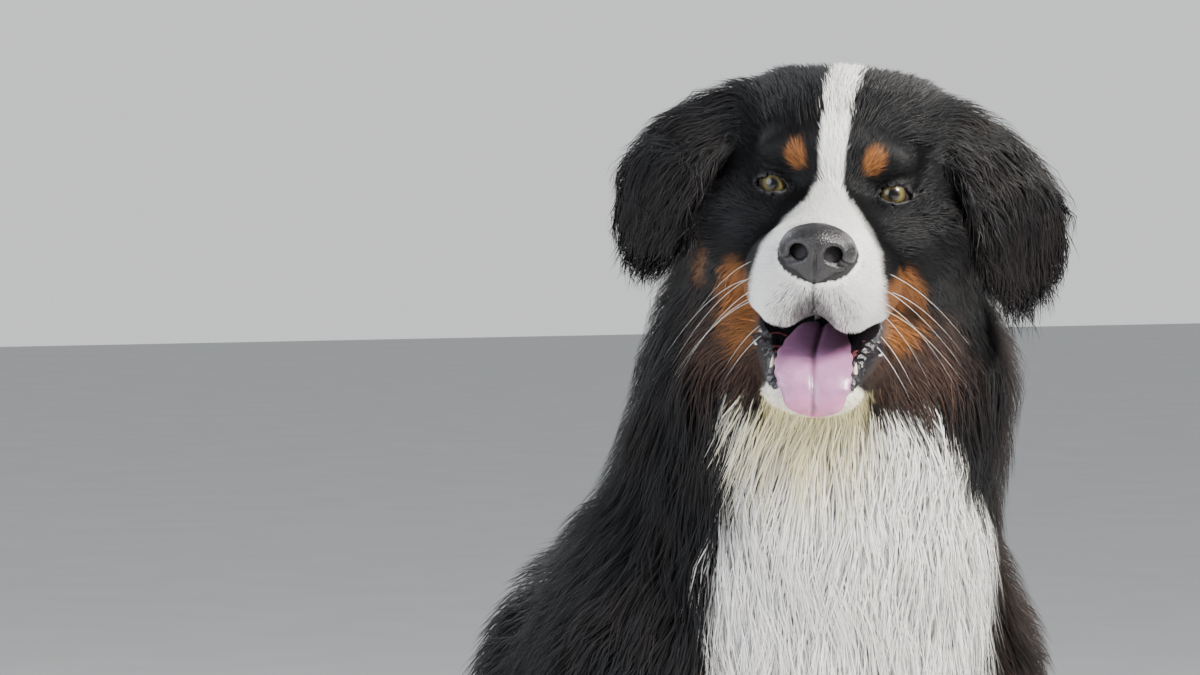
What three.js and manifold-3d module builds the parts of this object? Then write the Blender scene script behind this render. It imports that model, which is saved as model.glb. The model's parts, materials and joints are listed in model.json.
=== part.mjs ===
// A Bernese mountain dog sitting on a floor, life size: chest to the front, head turned to its own right,
// mouth open in a pant with the tongue out. Millimetres. +Z up, the dog's chest faces -Y, its own left is +X.
// The outer faces are those of the coat, out to the tips of the hair.
import * as THREE from "three";
import { mergeVertices } from "three/addons/utils/BufferGeometryUtils.js";
import Module from "manifold-3d";

const wasm = await Module();
wasm.setup();

// ---------------------------------------------------------------- driving dimensions (mm, degrees)
const EYE_MID = [-45, -259, 795]; // the point midway between the two eyeballs' centres
const HEAD_TURN = 33; // the head's turn to the dog's own right
const HEAD_NOD = 3; // the muzzle's dip below level
const HEAD_ROLL = 5; // the crown leans to the dog's own left
const EYE_X = 41; // half the distance between the eyeballs' centres
const EYE_R = 12; // eyeball radius
const EYE_FORE = 5; // the eyeballs' centres lie this far before the head's origin
const EAR_FACE = 46; // how far each flap faces forwards, in degrees
const CHEST_HALF = 182; // half the width of the barrel with its coat
const STANCE = 88; // half the distance between the forepaws
const HIND_STANCE = 160; // half the distance between the hind paws
const FLOOR = 0;
const GAP = 0.35; // clearance between neighbouring pieces

// ---------------------------------------------------------------- distance functions
const rad = (d) => (d * Math.PI) / 180;
const sub = (a, b) => [a[0] - b[0], a[1] - b[1], a[2] - b[2]];
const dot = (a, b) => a[0] * b[0] + a[1] * b[1] + a[2] * b[2];
const cross = (a, b) => [
  a[1] * b[2] - a[2] * b[1],
  a[2] * b[0] - a[0] * b[2],
  a[0] * b[1] - a[1] * b[0],
];
const unit = (a) => {
  const l = Math.hypot(...a);
  return a.map((x) => x / l);
};
const blend = (a, b, k) => {
  const h = Math.max(k - Math.abs(a - b), 0) / k;
  return Math.min(a, b) - h * h * k * 0.25;
};

// A round limb from a to b whose radius goes from ra to rb.
const limb = (a, b, ra, rb) => {
  const ab = sub(b, a);
  const l2 = dot(ab, ab);
  return (x, y, z) => {
    const p = [x - a[0], y - a[1], z - a[2]];
    const t = Math.min(1, Math.max(0, dot(p, ab) / l2));
    return (
      Math.hypot(p[0] - t * ab[0], p[1] - t * ab[1], p[2] - t * ab[2]) -
      (ra + t * (rb - ra))
    );
  };
};
// An egg with centre c and three radii along its own axes (rows of the matrix m, or the frame's own).
const egg = (c, r, m = null) => (x, y, z) => {
  let p = [x - c[0], y - c[1], z - c[2]];
  if (m) p = [dot(m[0], p), dot(m[1], p), dot(m[2], p)];
  const k0 = Math.hypot(p[0] / r[0], p[1] / r[1], p[2] / r[2]);
  const k1 = Math.hypot(
    p[0] / (r[0] * r[0]),
    p[1] / (r[1] * r[1]),
    p[2] / (r[2] * r[2]),
  );
  return k1 < 1e-9 ? -Math.min(...r) : (k0 * (k0 - 1)) / k1;
};
// Rows of a frame turned about X by a (nose-down positive), then about Z by b.
const turned = (a, b = 0) => {
  const [ca, sa, cb, sb] = [
    Math.cos(rad(a)),
    Math.sin(rad(a)),
    Math.cos(rad(b)),
    Math.sin(rad(b)),
  ];
  return [
    [cb, sb, 0],
    [-sb * ca, cb * ca, sa],
    [sb * sa, -cb * sa, ca],
  ];
};

// ---------------------------------------------------------------- the head's own frame
// x to the dog's left, y to the back of the skull, z to the crown, from the point between the eyes.
const HEAD = (() => {
  const [t, n, r] = [rad(HEAD_TURN), rad(HEAD_NOD), rad(HEAD_ROLL)];
  const fwd = [
    -Math.sin(t) * Math.cos(n),
    -Math.cos(t) * Math.cos(n),
    -Math.sin(n),
  ];
  const left0 = [Math.cos(t), -Math.sin(t), 0];
  const up0 = cross(fwd, left0);
  const up = up0.map((v, i) => v * Math.cos(r) + left0[i] * Math.sin(r));
  const left = left0.map((v, i) => v * Math.cos(r) - up0[i] * Math.sin(r));
  return { x: left, y: fwd.map((v) => -v), z: up };
})();
const fromHead = (q) =>
  [0, 1, 2].map(
    (i) =>
      EYE_MID[i] + q[0] * HEAD.x[i] + q[1] * HEAD.y[i] + q[2] * HEAD.z[i],
  );
const toHead = (x, y, z) => {
  const p = [x - EYE_MID[0], y - EYE_MID[1], z - EYE_MID[2]];
  return [dot(HEAD.x, p), dot(HEAD.y, p), dot(HEAD.z, p)];
};

// ---------------------------------------------------------------- the body
const body = [];
const add = (list, k, f) => list.push([f, k]);

// barrel, from the shoulders down the sloping back to the seat
add(body, 1, egg([0, -96, 508], [137, 132, 160]));
add(body, 60, egg([0, 12, 416], [CHEST_HALF, 184, 152]));
add(body, 60, egg([0, 108, 312], [170, 172, 178]));
add(body, 60, egg([0, 192, 190], [160, 146, 165]));
add(body, 40, egg([0, 228, 82], [135, 112, 100]));
// withers, fore-chest and its bib of long hair
add(body, 50, egg([0, 4, 580], [84, 82, 58], turned(-38)));
add(body, 40, egg([0, -168, 520], [124, 92, 136]));
add(body, 40, egg([0, -172, 420], [90, 68, 80]));
for (const s of [1, -1]) {
  // shoulder blade and upper arm
  add(body, 40, egg([s * 100, -90, 456], [78, 98, 130], turned(8)));
  add(body, 50, limb([s * 112, -110, 420], [s * 106, -72, 335], 84, 66));
  // forearm, with the feathering behind it
  add(body, 40, limb([s * 104, -80, 335], [s * 92, -122, 135], 62, 43));
  add(body, 30, limb([s * 102, -40, 335], [s * 94, -82, 170], 36, 16));
  add(body, 24, limb([s * 92, -122, 135], [s * STANCE, -146, 52], 43, 43));
  // haunch, knee and shank, folded beside the belly
  add(body, 50, egg([s * 126, 138, 172], [86, 150, 136], turned(14, s * 4)));
  add(body, 40, egg([s * 146, 22, 202], [62, 62, 64]));
  add(body, 30, limb([s * 150, 30, 180], [s * 150, 216, 66], 56, 42));
  add(body, 24, limb([s * 150, 214, 40], [s * 157, 60, 37], 42, 40));
}
// paws: a pad with four toes each
const paw = (s, at, turnOut, size) => {
  add(body, 20, egg(at, [50 * size, 56 * size, 36 * size]));
  [-1.5, -0.5, 0.5, 1.5].forEach((n) => {
    const a = rad(turnOut * s + n * 13);
    const reach = (Math.abs(n) > 1 ? 40 : 52) * size;
    const toe = [
      at[0] + Math.sin(a) * reach + n * 9 * size,
      at[1] - Math.cos(a) * reach,
      24 * size,
    ];
    add(body, 7, egg(toe, [15.5 * size, 27 * size, 24 * size]));
  });
};
for (const s of [1, -1]) {
  paw(s, [s * (STANCE + 1), -168, 34], 8, 1.06);
  paw(s, [s * (HIND_STANCE + 2), 14, 32], 10, 0.98);
}
// tail, laid on the floor behind and round to the dog's own left
const TAIL = [
  [0, 300, 98, 50],
  [6, 368, 62, 56],
  [48, 436, 52, 58],
  [118, 470, 48, 54],
  [186, 464, 38, 40],
  [236, 436, 24, 20],
];
for (let i = 0; i + 1 < TAIL.length; i++)
  add(
    body,
    30,
    limb(TAIL[i].slice(0, 3), TAIL[i + 1].slice(0, 3), TAIL[i][3], TAIL[i + 1][3]),
  );
// neck and ruff
add(body, 40, egg([6, -128, 600], [144, 120, 96]));
add(body, 36, egg([4, -158, 655], [140, 122, 84]));
add(body, 30, limb([4, -156, 690], fromHead([0, 90, -40]), 127, 106));
add(body, 30, egg([0, -196, 596], [100, 80, 96]));

// ---------------------------------------------------------------- the head, in its own frame
const skull = [];
add(skull, 1, egg([0, 62, 20], [80, 92, 62]));
add(skull, 30, egg([0, 116, 6], [66, 52, 58]));
add(skull, 30, egg([0, 66, -52], [66, 74, 60]));
add(skull, 22, limb([0, -22, -40], [0, -84, -50], 40, 31));
for (const s of [1, -1]) {
  // full hair between the crown and the root of the ear
  add(skull, 24, egg([s * 46, 64, 42], [34, 44, 34]));
  add(skull, 22, egg([s * 52, 18, -38], [40, 50, 50]));
  add(skull, 24, egg([s * 58, 52, -62], [42, 46, 54]));
  add(skull, 14, egg([s * 36, -10, 22], [20, 14, 13]));
  add(skull, 16, egg([s * 24, -70, -60], [22, 33, 35], turned(8)));
  add(skull, 16, egg([s * 38, -41, -62], [17, 34, 26], turned(-6)));
}
const chops = [];
for (const s of [1, -1]) {
  add(chops, 20, limb([s * 36, 22, -94], [s * 20, -46, -130], 32, 19));
}
add(chops, 16, limb([0, 20, -100], [0, -50, -134], 34, 18));
add(chops, 12, egg([0, -60, -138], [35, 19, 17]));

// the gape, and the opening of the lids
const gape = [
  egg([0, -56, -104], [44, 58, 17], turned(24)),
  egg([0, -40, -96], [50, 40, 12], turned(12)),
];
const lidOpening = (s) => {
  const out = rad(18 * s);
  return egg(
    [s * EYE_X + Math.sin(out) * 10, -EYE_FORE - 10, 0],
    [12.5, 13, 8],
    [
      [Math.cos(out), Math.sin(out), -0.06 * s],
      [-Math.sin(out), Math.cos(out), 0],
      [0.06 * s, 0, 1],
    ],
  );
};

// ears: eggs down the flap's curved middle line, each [x, y, z, half length, half width, half thickness, lift]
// where lift is how far that stretch points outwards from straight down, in degrees
const EAR = [
  [75, 44, 46, 24, 26, 15, 60],
  [98, 42, 30, 33, 36, 12, 46],
  [119, 40, 4, 37, 44, 11, 24],
  [128, 38, -28, 42, 45, 10, 4],
];
const ears = {};
for (const s of [1, -1]) {
  ears[s] = [];
  const f = rad(EAR_FACE);
  EAR.forEach(([x, y, z, l, w, t, lift], i) => {
    const o = rad(lift);
    const along = [s * Math.sin(o), 0, -Math.cos(o)];
    const side = [s * Math.cos(o), 0, Math.sin(o)];
    const wide = side.map((v, j) => v * Math.cos(f) + (j === 1 ? Math.sin(f) : 0));
    add(ears[s], i ? 14 : 1, egg([s * x, y, z], [l, w, t], [along, wide, cross(along, wide)]));
  });
}

// nose leather and tongue
const nose = [];
add(nose, 1, egg([0, -99, -34], [24, 20, 17], turned(-12)));
for (const s of [1, -1]) add(nose, 8, egg([s * 14, -101, -38], [12, 15, 13]));
add(nose, 8, egg([0, -104, -50], [12, 10, 10]));
const TONGUE = [
  [0, 6, -96, 17],
  [0, -34, -107, 23],
  [1, -62, -114, 27],
  [2, -79, -123, 27],
  [4, -87, -135, 25],
  [5, -90, -145, 19],
];
const tongue = [];
for (let i = 0; i + 1 < TONGUE.length; i++) {
  const [a, b] = [TONGUE[i], TONGUE[i + 1]];
  for (const t of [0, 0.5, 1]) {
    const c = [0, 1, 2].map((j) => a[j] + (b[j] - a[j]) * t);
    const w = a[3] + (b[3] - a[3]) * t;
    const slope =
      (Math.atan2(a[2] - b[2], a[1] - b[1]) * 180) / Math.PI;
    add(tongue, 6, egg(c, [w, 12, 5.5], turned(slope)));
  }
}

const sum = (list) => (x, y, z) => {
  let d = 1e9;
  for (const [f, k] of list) {
    const v = f(x, y, z);
    d = d > 1e8 ? v : blend(d, v, k);
  }
  return d;
};
const inHead = (f) => (x, y, z) => f(...toHead(x, y, z));
const bodyAt = sum(body);
const skullAt = sum(skull);
const chopsAt = sum(chops);
const earAt = { 1: sum(ears[1]), [-1]: sum(ears[-1]) };
const noseAt = sum(nose);
const tongueAt = sum(tongue);

// the whole hide with its coat, less its ears, cut open at the mouth and the lids
const hide = (x, y, z) => {
  let d = bodyAt(x, y, z);
  const q = toHead(x, y, z);
  if (Math.hypot(q[0], q[1] - 20, q[2] + 20) < 260) {
    let h = blend(skullAt(...q), chopsAt(...q), 9);
    d = blend(d, h, 34);
    for (const g of gape) d = Math.max(d, -g(...q));
    for (const s of [1, -1]) d = Math.max(d, -lidOpening(s)(...q));
  }
  return d;
};

// ---------------------------------------------------------------- meshing: surface nets on a grid, then thinning
// One closed surface of f = level inside the box lo..hi.
const netOf = (f, lo, hi, cell, level = 0) => {
  const n = [0, 1, 2].map((i) => Math.ceil((hi[i] - lo[i]) / cell) + 1);
  const at = (i, j, k) => (k * n[1] + j) * n[0] + i;
  const v = new Float64Array(n[0] * n[1] * n[2]);
  for (let k = 0; k < n[2]; k++)
    for (let j = 0; j < n[1]; j++)
      for (let i = 0; i < n[0]; i++) {
        const edge =
          i === 0 || j === 0 || k === 0 || i === n[0] - 1 || j === n[1] - 1 || k === n[2] - 1;
        let d = f(lo[0] + i * cell, lo[1] + j * cell, lo[2] + k * cell) - level;
        if (edge) d = Math.max(d, cell * 0.5);
        v[at(i, j, k)] = Math.abs(d) < 1e-4 ? 1e-4 : d;
      }
  const C = [0, 1, 2, 3, 4, 5, 6, 7].map((c) => [c & 1, (c >> 1) & 1, c >> 2]);
  const E = [];
  for (let a = 0; a < 8; a++)
    for (const bit of [1, 2, 4]) if (!(a & bit)) E.push([a, a | bit]);
  // No cell may hold two separate corners of one sign: the weakest corner is turned over until none does.
  for (let pass = 0, changed = true; changed && pass < 30; pass++) {
    changed = false;
    for (let k = 0; k + 1 < n[2]; k++)
      for (let j = 0; j + 1 < n[1]; j++)
        for (let i = 0; i + 1 < n[0]; i++) {
          const id = C.map((c) => at(i + c[0], j + c[1], k + c[2]));
          const inside = id.map((q) => v[q] < 0);
          const count = inside.filter(Boolean).length;
          if (count === 0 || count === 8) continue;
          const pieces = (want) => {
            const seen = new Set();
            let parts = 0;
            for (let c = 0; c < 8; c++) {
              if (inside[c] !== want || seen.has(c)) continue;
              parts++;
              const todo = [c];
              seen.add(c);
              while (todo.length) {
                const a = todo.pop();
                for (const bit of [1, 2, 4]) {
                  const b = a ^ bit;
                  if (inside[b] === want && !seen.has(b)) {
                    seen.add(b);
                    todo.push(b);
                  }
                }
              }
            }
            return parts;
          };
          let bad = pieces(true) > 1 || pieces(false) > 1;
          if (!bad)
            for (const [a, b] of [[1, 2], [2, 4], [1, 4]])
              for (const base of [0, 7 - a - b])
                if (
                  inside[base] === inside[base + a + b] &&
                  inside[base + a] === inside[base + b] &&
                  inside[base] !== inside[base + a]
                )
                  bad = true;
          if (bad) {
            let weakest = id[0];
            for (const q of id) if (Math.abs(v[q]) < Math.abs(v[weakest])) weakest = q;
            v[weakest] = v[weakest] < 0 ? Math.abs(v[weakest]) + cell * 0.3 : -(Math.abs(v[weakest]) + cell * 0.3);
            changed = true;
          }
        }
  }
  const index = new Map();
  const points = [];
  const faces = [];
  const vertex = (i, j, k) => {
    const key = at(i, j, k);
    if (index.has(key)) return index.get(key);
    const s = [0, 0, 0];
    let m = 0;
    for (const [a, b] of E) {
      const [ca, cb] = [C[a], C[b]];
      const va = v[at(i + ca[0], j + ca[1], k + ca[2])];
      const vb = v[at(i + cb[0], j + cb[1], k + cb[2])];
      if (va < 0 === vb < 0) continue;
      const t = va / (va - vb);
      for (let q = 0; q < 3; q++) s[q] += ca[q] + (cb[q] - ca[q]) * t;
      m++;
    }
    points.push([
      lo[0] + (i + s[0] / m) * cell,
      lo[1] + (j + s[1] / m) * cell,
      lo[2] + (k + s[2] / m) * cell,
    ]);
    index.set(key, points.length - 1);
    return points.length - 1;
  };
  for (let k = 0; k + 1 < n[2]; k++)
    for (let j = 0; j + 1 < n[1]; j++)
      for (let i = 0; i + 1 < n[0]; i++) {
        const a = v[at(i, j, k)] < 0;
        const quad = (b, c1, c2, c3, c4) => {
          if (a === b || Math.min(...c1, ...c3) < 0) return;
          const q = [vertex(...c1), vertex(...c2), vertex(...c3), vertex(...c4)];
          if (!a) q.reverse();
          faces.push([q[0], q[1], q[2]], [q[0], q[2], q[3]]);
        };
        quad(v[at(i + 1, j, k)] < 0, [i, j - 1, k - 1], [i, j, k - 1], [i, j, k], [i, j - 1, k]);
        quad(v[at(i, j + 1, k)] < 0, [i - 1, j, k - 1], [i - 1, j, k], [i, j, k], [i, j, k - 1]);
        quad(v[at(i, j, k + 1)] < 0, [i - 1, j - 1, k], [i, j - 1, k], [i, j, k], [i - 1, j, k]);
      }
  return { points, faces };
};

// Collapses the edges whose loss shows least, keeping the surface closed, until few enough faces are left.
const thin = ({ points, faces }, wanted) => {
  const P = points.map((p) => p.slice());
  const F = faces.map((f) => f.slice());
  const live = F.map(() => true);
  const around = P.map(() => new Set());
  F.forEach((f, i) => f.forEach((p) => around[p].add(i)));
  const normalOf = (f, moved = -1, to = null) => {
    const [a, b, c] = f.map((p) => (p === moved ? to : P[p]));
    return cross(sub(b, a), sub(c, a));
  };
  const Q = P.map(() => new Float64Array(10));
  F.forEach((f) => {
    const n0 = normalOf(f);
    const area = Math.hypot(...n0) || 1e-12;
    const n = n0.map((x) => x / area);
    const d = -dot(n, P[f[0]]);
    const q = [n[0] * n[0], n[0] * n[1], n[0] * n[2], n[0] * d, n[1] * n[1], n[1] * n[2], n[1] * d, n[2] * n[2], n[2] * d, d * d];
    f.forEach((p) => q.forEach((x, i) => (Q[p][i] += x * area)));
  });
  const costAt = (q, [x, y, z]) =>
    q[0] * x * x + 2 * q[1] * x * y + 2 * q[2] * x * z + 2 * q[3] * x + q[4] * y * y +
    2 * q[5] * y * z + 2 * q[6] * y + q[7] * z * z + 2 * q[8] * z + q[9];
  const age = P.map(() => 0);
  const heap = [];
  const push = (item) => {
    let i = heap.push(item) - 1;
    while (i > 0) {
      const up = (i - 1) >> 1;
      if (heap[up][0] <= heap[i][0]) break;
      [heap[up], heap[i]] = [heap[i], heap[up]];
      i = up;
    }
  };
  const pop = () => {
    const top = heap[0];
    const last = heap.pop();
    if (heap.length) {
      heap[0] = last;
      let i = 0;
      for (;;) {
        let s = i;
        for (const c of [2 * i + 1, 2 * i + 2])
          if (c < heap.length && heap[c][0] < heap[s][0]) s = c;
        if (s === i) break;
        [heap[s], heap[i]] = [heap[i], heap[s]];
        i = s;
      }
    }
    return top;
  };
  const best = (a, b) => {
    const q = Q[a].map((x, i) => x + Q[b][i]);
    const mid = [0, 1, 2].map((i) => (P[a][i] + P[b][i]) / 2);
    let choice = mid;
    let cost = costAt(q, mid);
    const [m0, m1, m2] = [[q[0], q[1], q[2]], [q[1], q[4], q[5]], [q[2], q[5], q[7]]];
    const det = dot(m0, cross(m1, m2));
    if (Math.abs(det) > 1e-6 * Math.pow(Math.abs(q[0]) + Math.abs(q[4]) + Math.abs(q[7]), 3)) {
      const r = [-q[3], -q[6], -q[8]];
      const c0 = [m0[0], m1[0], m2[0]];
      const c1 = [m0[1], m1[1], m2[1]];
      const c2 = [m0[2], m1[2], m2[2]];
      const x = [dot(r, cross(c1, c2)) / det, dot(c0, cross(r, c2)) / det, dot(c0, cross(c1, r)) / det];
      if (Math.hypot(...sub(x, mid)) < Math.hypot(...sub(P[a], P[b])) * 1.2 && costAt(q, x) < cost) {
        choice = x;
        cost = costAt(q, x);
      }
    }
    return [cost + 1e-4 * dot(sub(P[a], P[b]), sub(P[a], P[b])), a, b, age[a], age[b], choice];
  };
  const neighbours = (p) => {
    const s = new Set();
    around[p].forEach((f) => F[f].forEach((x) => x !== p && s.add(x)));
    return s;
  };
  P.forEach((_, p) => neighbours(p).forEach((x) => x > p && push(best(p, x))));
  let left = F.length;
  while (left > wanted && heap.length) {
    const [, a, b, ageA, ageB, to] = pop();
    if (age[a] !== ageA || age[b] !== ageB) continue;
    const [na, nb] = [neighbours(a), neighbours(b)];
    if ([...na].filter((x) => nb.has(x)).length !== 2) continue;
    const bad = [a, b].some((p) =>
      [...around[p]].some((f) => {
        if (F[f].includes(a) && F[f].includes(b)) return false;
        const before = normalOf(F[f]);
        const after = normalOf(F[f], p, to);
        const [lb, la] = [Math.hypot(...before), Math.hypot(...after)];
        return la < 1e-3 || dot(before, after) < 0.25 * lb * la;
      }),
    );
    if (bad) continue;
    P[a] = to;
    Q[a] = Q[a].map((x, i) => x + Q[b][i]);
    for (const f of [...around[b]]) {
      if (F[f].includes(a)) {
        live[f] = false;
        left--;
        F[f].forEach((p) => around[p].delete(f));
      } else {
        F[f] = F[f].map((p) => (p === b ? a : p));
        around[a].add(f);
      }
    }
    around[b].clear();
    age[a]++;
    age[b] = -1;
    neighbours(a).forEach((x) => push(best(a, x)));
  }
  const used = new Map();
  const out = [];
  const kept = F.filter((_, i) => live[i]).map((f) =>
    f.map((p) => {
      if (!used.has(p)) used.set(p, out.push(P[p]) - 1);
      return used.get(p);
    }),
  );
  return { points: out, faces: kept };
};

// The same closed surface with every corner moved out along its normal.
const swell = ({ points, faces }, by) => {
  const n = points.map(() => [0, 0, 0]);
  for (const f of faces) {
    const [a, b, c] = f.map((p) => points[p]);
    const m = cross(sub(b, a), sub(c, a));
    f.forEach((p) => m.forEach((x, i) => (n[p][i] += x)));
  }
  return { points: points.map((p, i) => { const u = unit(n[i]); return p.map((x, j) => x + u[j] * by); }), faces };
};
const solidOf = ({ points, faces }) =>
  new wasm.Manifold(
    new wasm.Mesh({
      numProp: 3,
      vertProperties: new Float32Array(points.flat()),
      triVerts: new Uint32Array(faces.flat()),
    }),
  );
// A three.js geometry as a solid, after the turn, shift and stretch given.
const solidFrom = (geometry, matrix = null) => {
  const g = geometry.clone();
  g.deleteAttribute("normal");
  g.deleteAttribute("uv");
  if (matrix) g.applyMatrix4(matrix);
  const m = mergeVertices(g, 1e-3);
  return new wasm.Manifold(
    new wasm.Mesh({
      numProp: 3,
      vertProperties: m.attributes.position.array,
      triVerts: new Uint32Array(m.index.array),
    }),
  );
};
const largest = (solid) =>
  solid.intersect(beyond([0, 0, FLOOR], [0, 0, 1], 0, 1400)).decompose().sort((a, b) => b.volume() - a.volume())[0];
const geometryOf = (solid) => {
  const m = solid.getMesh();
  const v = new Float32Array(m.numVert * 3);
  for (let i = 0; i < m.numVert; i++)
    v.set(m.vertProperties.subarray(i * m.numProp, i * m.numProp + 3), i * 3);
  const g = new THREE.BufferGeometry()
    .setAttribute("position", new THREE.BufferAttribute(v, 3))
    .setIndex(new THREE.BufferAttribute(new Uint32Array(m.triVerts), 1));
  g.computeVertexNormals();
  return g;
};

// Cutters: half-spaces as big boxes, boxes, and eggs. grow makes each a little bigger, which leaves the gap.
const frameMatrix = (x, y, z, at) =>
  new THREE.Matrix4().makeBasis(
    new THREE.Vector3(...x),
    new THREE.Vector3(...y),
    new THREE.Vector3(...z),
  ).setPosition(new THREE.Vector3(...at));
const beyond = (at, normal, grow = 0, size = 700) => {
  const z = unit(normal);
  const x = unit(cross(Math.abs(z[1]) < 0.9 ? [0, 1, 0] : [1, 0, 0], z));
  const y = cross(z, x);
  const centre = at.map((v, i) => v + z[i] * (size / 2 - grow));
  return solidFrom(new THREE.BoxGeometry(size, size, size), frameMatrix(x, y, z, centre));
};
const block = (lo, hi, grow = 0) =>
  solidFrom(
    new THREE.BoxGeometry(
      hi[0] - lo[0] + 2 * grow,
      hi[1] - lo[1] + 2 * grow,
      hi[2] - lo[2] + 2 * grow,
    ),
    new THREE.Matrix4().makeTranslation(
      (lo[0] + hi[0]) / 2,
      (lo[1] + hi[1]) / 2,
      (lo[2] + hi[2]) / 2,
    ),
  );
const ballCutter = (c, r, grow = 0) =>
  solidFrom(
    new THREE.SphereGeometry(1, 16, 10),
    new THREE.Matrix4()
      .makeTranslation(...c)
      .multiply(new THREE.Matrix4().makeScale(r[0] + grow, r[1] + grow, r[2] + grow)),
  );

// ---------------------------------------------------------------- where the named parts meet
const neckTop = (g) => beyond(fromHead([0, 80, -50]), unit([HEAD.y[0] * -0.75, HEAD.y[1] * -0.75, 0.66]), g);
const neckFoot = (g) => beyond([0, -88, 588], [0, -0.5, 0.866], g);
const jawPrism = (g) => {
  const outline = new THREE.Shape();
  [
    [66, -80 + g],
    [-34, -80 + g],
    [-72, -106 + g],
    [-140, -126 + g],
    [-140, -240],
    [66 + g, -240],
  ].forEach(([y, z], i) => (i ? outline.lineTo(y, z) : outline.moveTo(y, z)));
  const prism = new THREE.ExtrudeGeometry(outline, { depth: 260, bevelEnabled: false });
  // the outline's plane is the head's y-z plane, its depth runs along the head's x
  return solidFrom(prism, frameMatrix(HEAD.y, HEAD.z, HEAD.x, fromHead([-130, 0, 0])));
};
const forelegCut = (s, g) => block([s > 0 ? 34 : -260, -300, -10], [s > 0 ? 260 : -34, 36, 352], g);
const hindlegCut = (s, g) =>
  ballCutter([s * 168, 118, 160], [104, 196, 152], g).add(
    block([s > 0 ? 96 : -280, -96, -10], [s > 0 ? 280 : -96, 268, 74], g),
  );
const tailCut = (g) => beyond([0, 328, 70], [0.06, 0.94, -0.34], g, 600);

// ---------------------------------------------------------------- the pieces
const root = new THREE.Group();
const colours = {
  black: [0x131317, 0.62],
  leather: [0x1c1a1e, 0.38],
  iris: [0x4a2c12, 0.12],
  pink: [0xc9869a, 0.35],
  claw: [0x201b18, 0.4],
};
const place = (name, solid, colour) => {
  const [hex, roughness] = colours[colour];
  const geometry = geometryOf(largest(solid));
  const mesh = new THREE.Mesh(
    geometry,
    new THREE.MeshStandardMaterial({ color: hex, roughness, metalness: 0 }),
  );
  mesh.name = name;
  root.add(mesh);
};

const headLo = [-190, -400, 600];
const headHi = [120, 20, 900];
const headNet = thin(netOf(hide, headLo, headHi, 5.6), 2250);
const torsoNet = thin(netOf(hide, [-260, -330, -30], [280, 560, 900], 13), 1450);
const whole = {
  head: solidOf(headNet),
  headGrown: solidOf(swell(headNet, 0.6)).add(solidOf(swell(torsoNet, 0.6))),
  torso: solidOf(torsoNet),
  legs: solidOf(thin(netOf(hide, [-260, -330, -30], [280, 380, 480], 9), 1950)),
};
const upper = whole.head.intersect(neckTop(0));

// the soft parts inside the head
const eyes = {};
for (const s of [1, -1]) {
  const centre = fromHead([s * EYE_X, -EYE_FORE, 0]);
  eyes[s] = (g) => ballCutter(centre, [EYE_R, EYE_R, EYE_R], g);
}
const boxAround = (points, margin) => [
  [0, 1, 2].map((i) => Math.min(...points.map((p) => p[i])) - margin),
  [0, 1, 2].map((i) => Math.max(...points.map((p) => p[i])) + margin),
];
const noseBox = boxAround([fromHead([0, -99, -40])], 42);
const noseNet = thin(netOf(inHead(noseAt), ...noseBox, 2.6), 260);
const noseWhole = (g) => solidOf(g ? swell(noseNet, g * 1.5) : noseNet);
const tongueBox = boxAround(TONGUE.map((t) => fromHead(t.slice(0, 3))), 40);
const tongueNet = thin(netOf(inHead(tongueAt), ...tongueBox, 2.6), 300);
const tongueWhole = (g) => solidOf(g ? swell(tongueNet, g * 1.5) : tongueNet);

// claws: short curved cones at the toes' ends
const claws = [];
const toesOf = (name, at, turnOut, size, s) =>
  [-1.5, -0.5, 0.5, 1.5].forEach((n, i) => {
    const a = rad(turnOut * s + n * 13);
    const reach = (Math.abs(n) > 1 ? 40 : 52) * size + 22 * size;
    const base = [at[0] + Math.sin(a) * reach + n * 9 * size, at[1] - Math.cos(a) * reach, 17 * size];
    const dir = unit([Math.sin(a), -Math.cos(a), -0.42]);
    const shape = [
      [0, -9], [4.8, -9], [4.4, 2], [1.8, 11], [0, 14],
    ].map(([r, h]) => new THREE.Vector2(r, h));
    const make = (g) =>
      solidFrom(
        new THREE.LatheGeometry(shape.map((p) => new THREE.Vector2(p.x > 0 ? p.x + g : 0, p.y + (p.y > 0 ? g : -g))), 7),
        (() => {
          const x = unit(cross([0, 0, 1], dir));
          return frameMatrix(x, dir, cross(x, dir), base);
        })(),
      );
    claws.push([`claw_${name}_${i + 1}`, make]);
  });
for (const s of [1, -1]) {
  const side = s > 0 ? "left" : "right";
  toesOf(`fore_${side}`, [s * (STANCE + 1), -168, 34], 8, 1.06, s);
  toesOf(`hind_${side}`, [s * (HIND_STANCE + 2), 14, 32], 10, 0.98, s);
}

// head, jaw and ears
let head = upper.subtract(jawPrism(GAP));
let jaw = upper.intersect(jawPrism(0));
const soft = noseWhole(GAP).add(tongueWhole(GAP));
head = head.subtract(soft).subtract(eyes[1](GAP)).subtract(eyes[-1](GAP));
jaw = jaw.subtract(tongueWhole(GAP));
const { headGrown } = whole;
for (const s of [1, -1]) {
  const side = s > 0 ? "left" : "right";
  const ear = solidOf(thin(netOf(inHead(earAt[s]), ...boxAround(EAR.map(([x, y, z]) => fromHead([s * x, y, z])), 62), 4.6), 340));
  place(`ear_${side}`, ear.subtract(headGrown), "black");
  place(`eye_${side}`, eyes[s](0), "iris");
}
place("head", head, "black");
place("jaw", jaw, "black");
place("nose", noseWhole(0), "leather");
place("tongue", tongueWhole(0), "pink");

// neck and trunk
place("neck", whole.torso.subtract(neckTop(GAP)).intersect(neckFoot(0)), "black");
let trunk = whole.torso.subtract(neckFoot(GAP)).subtract(neckTop(GAP)).subtract(tailCut(GAP));
for (const s of [1, -1]) trunk = trunk.subtract(forelegCut(s, GAP)).subtract(hindlegCut(s, GAP));
place("trunk", trunk, "black");
place("tail", whole.torso.intersect(tailCut(0)), "black");

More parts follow.
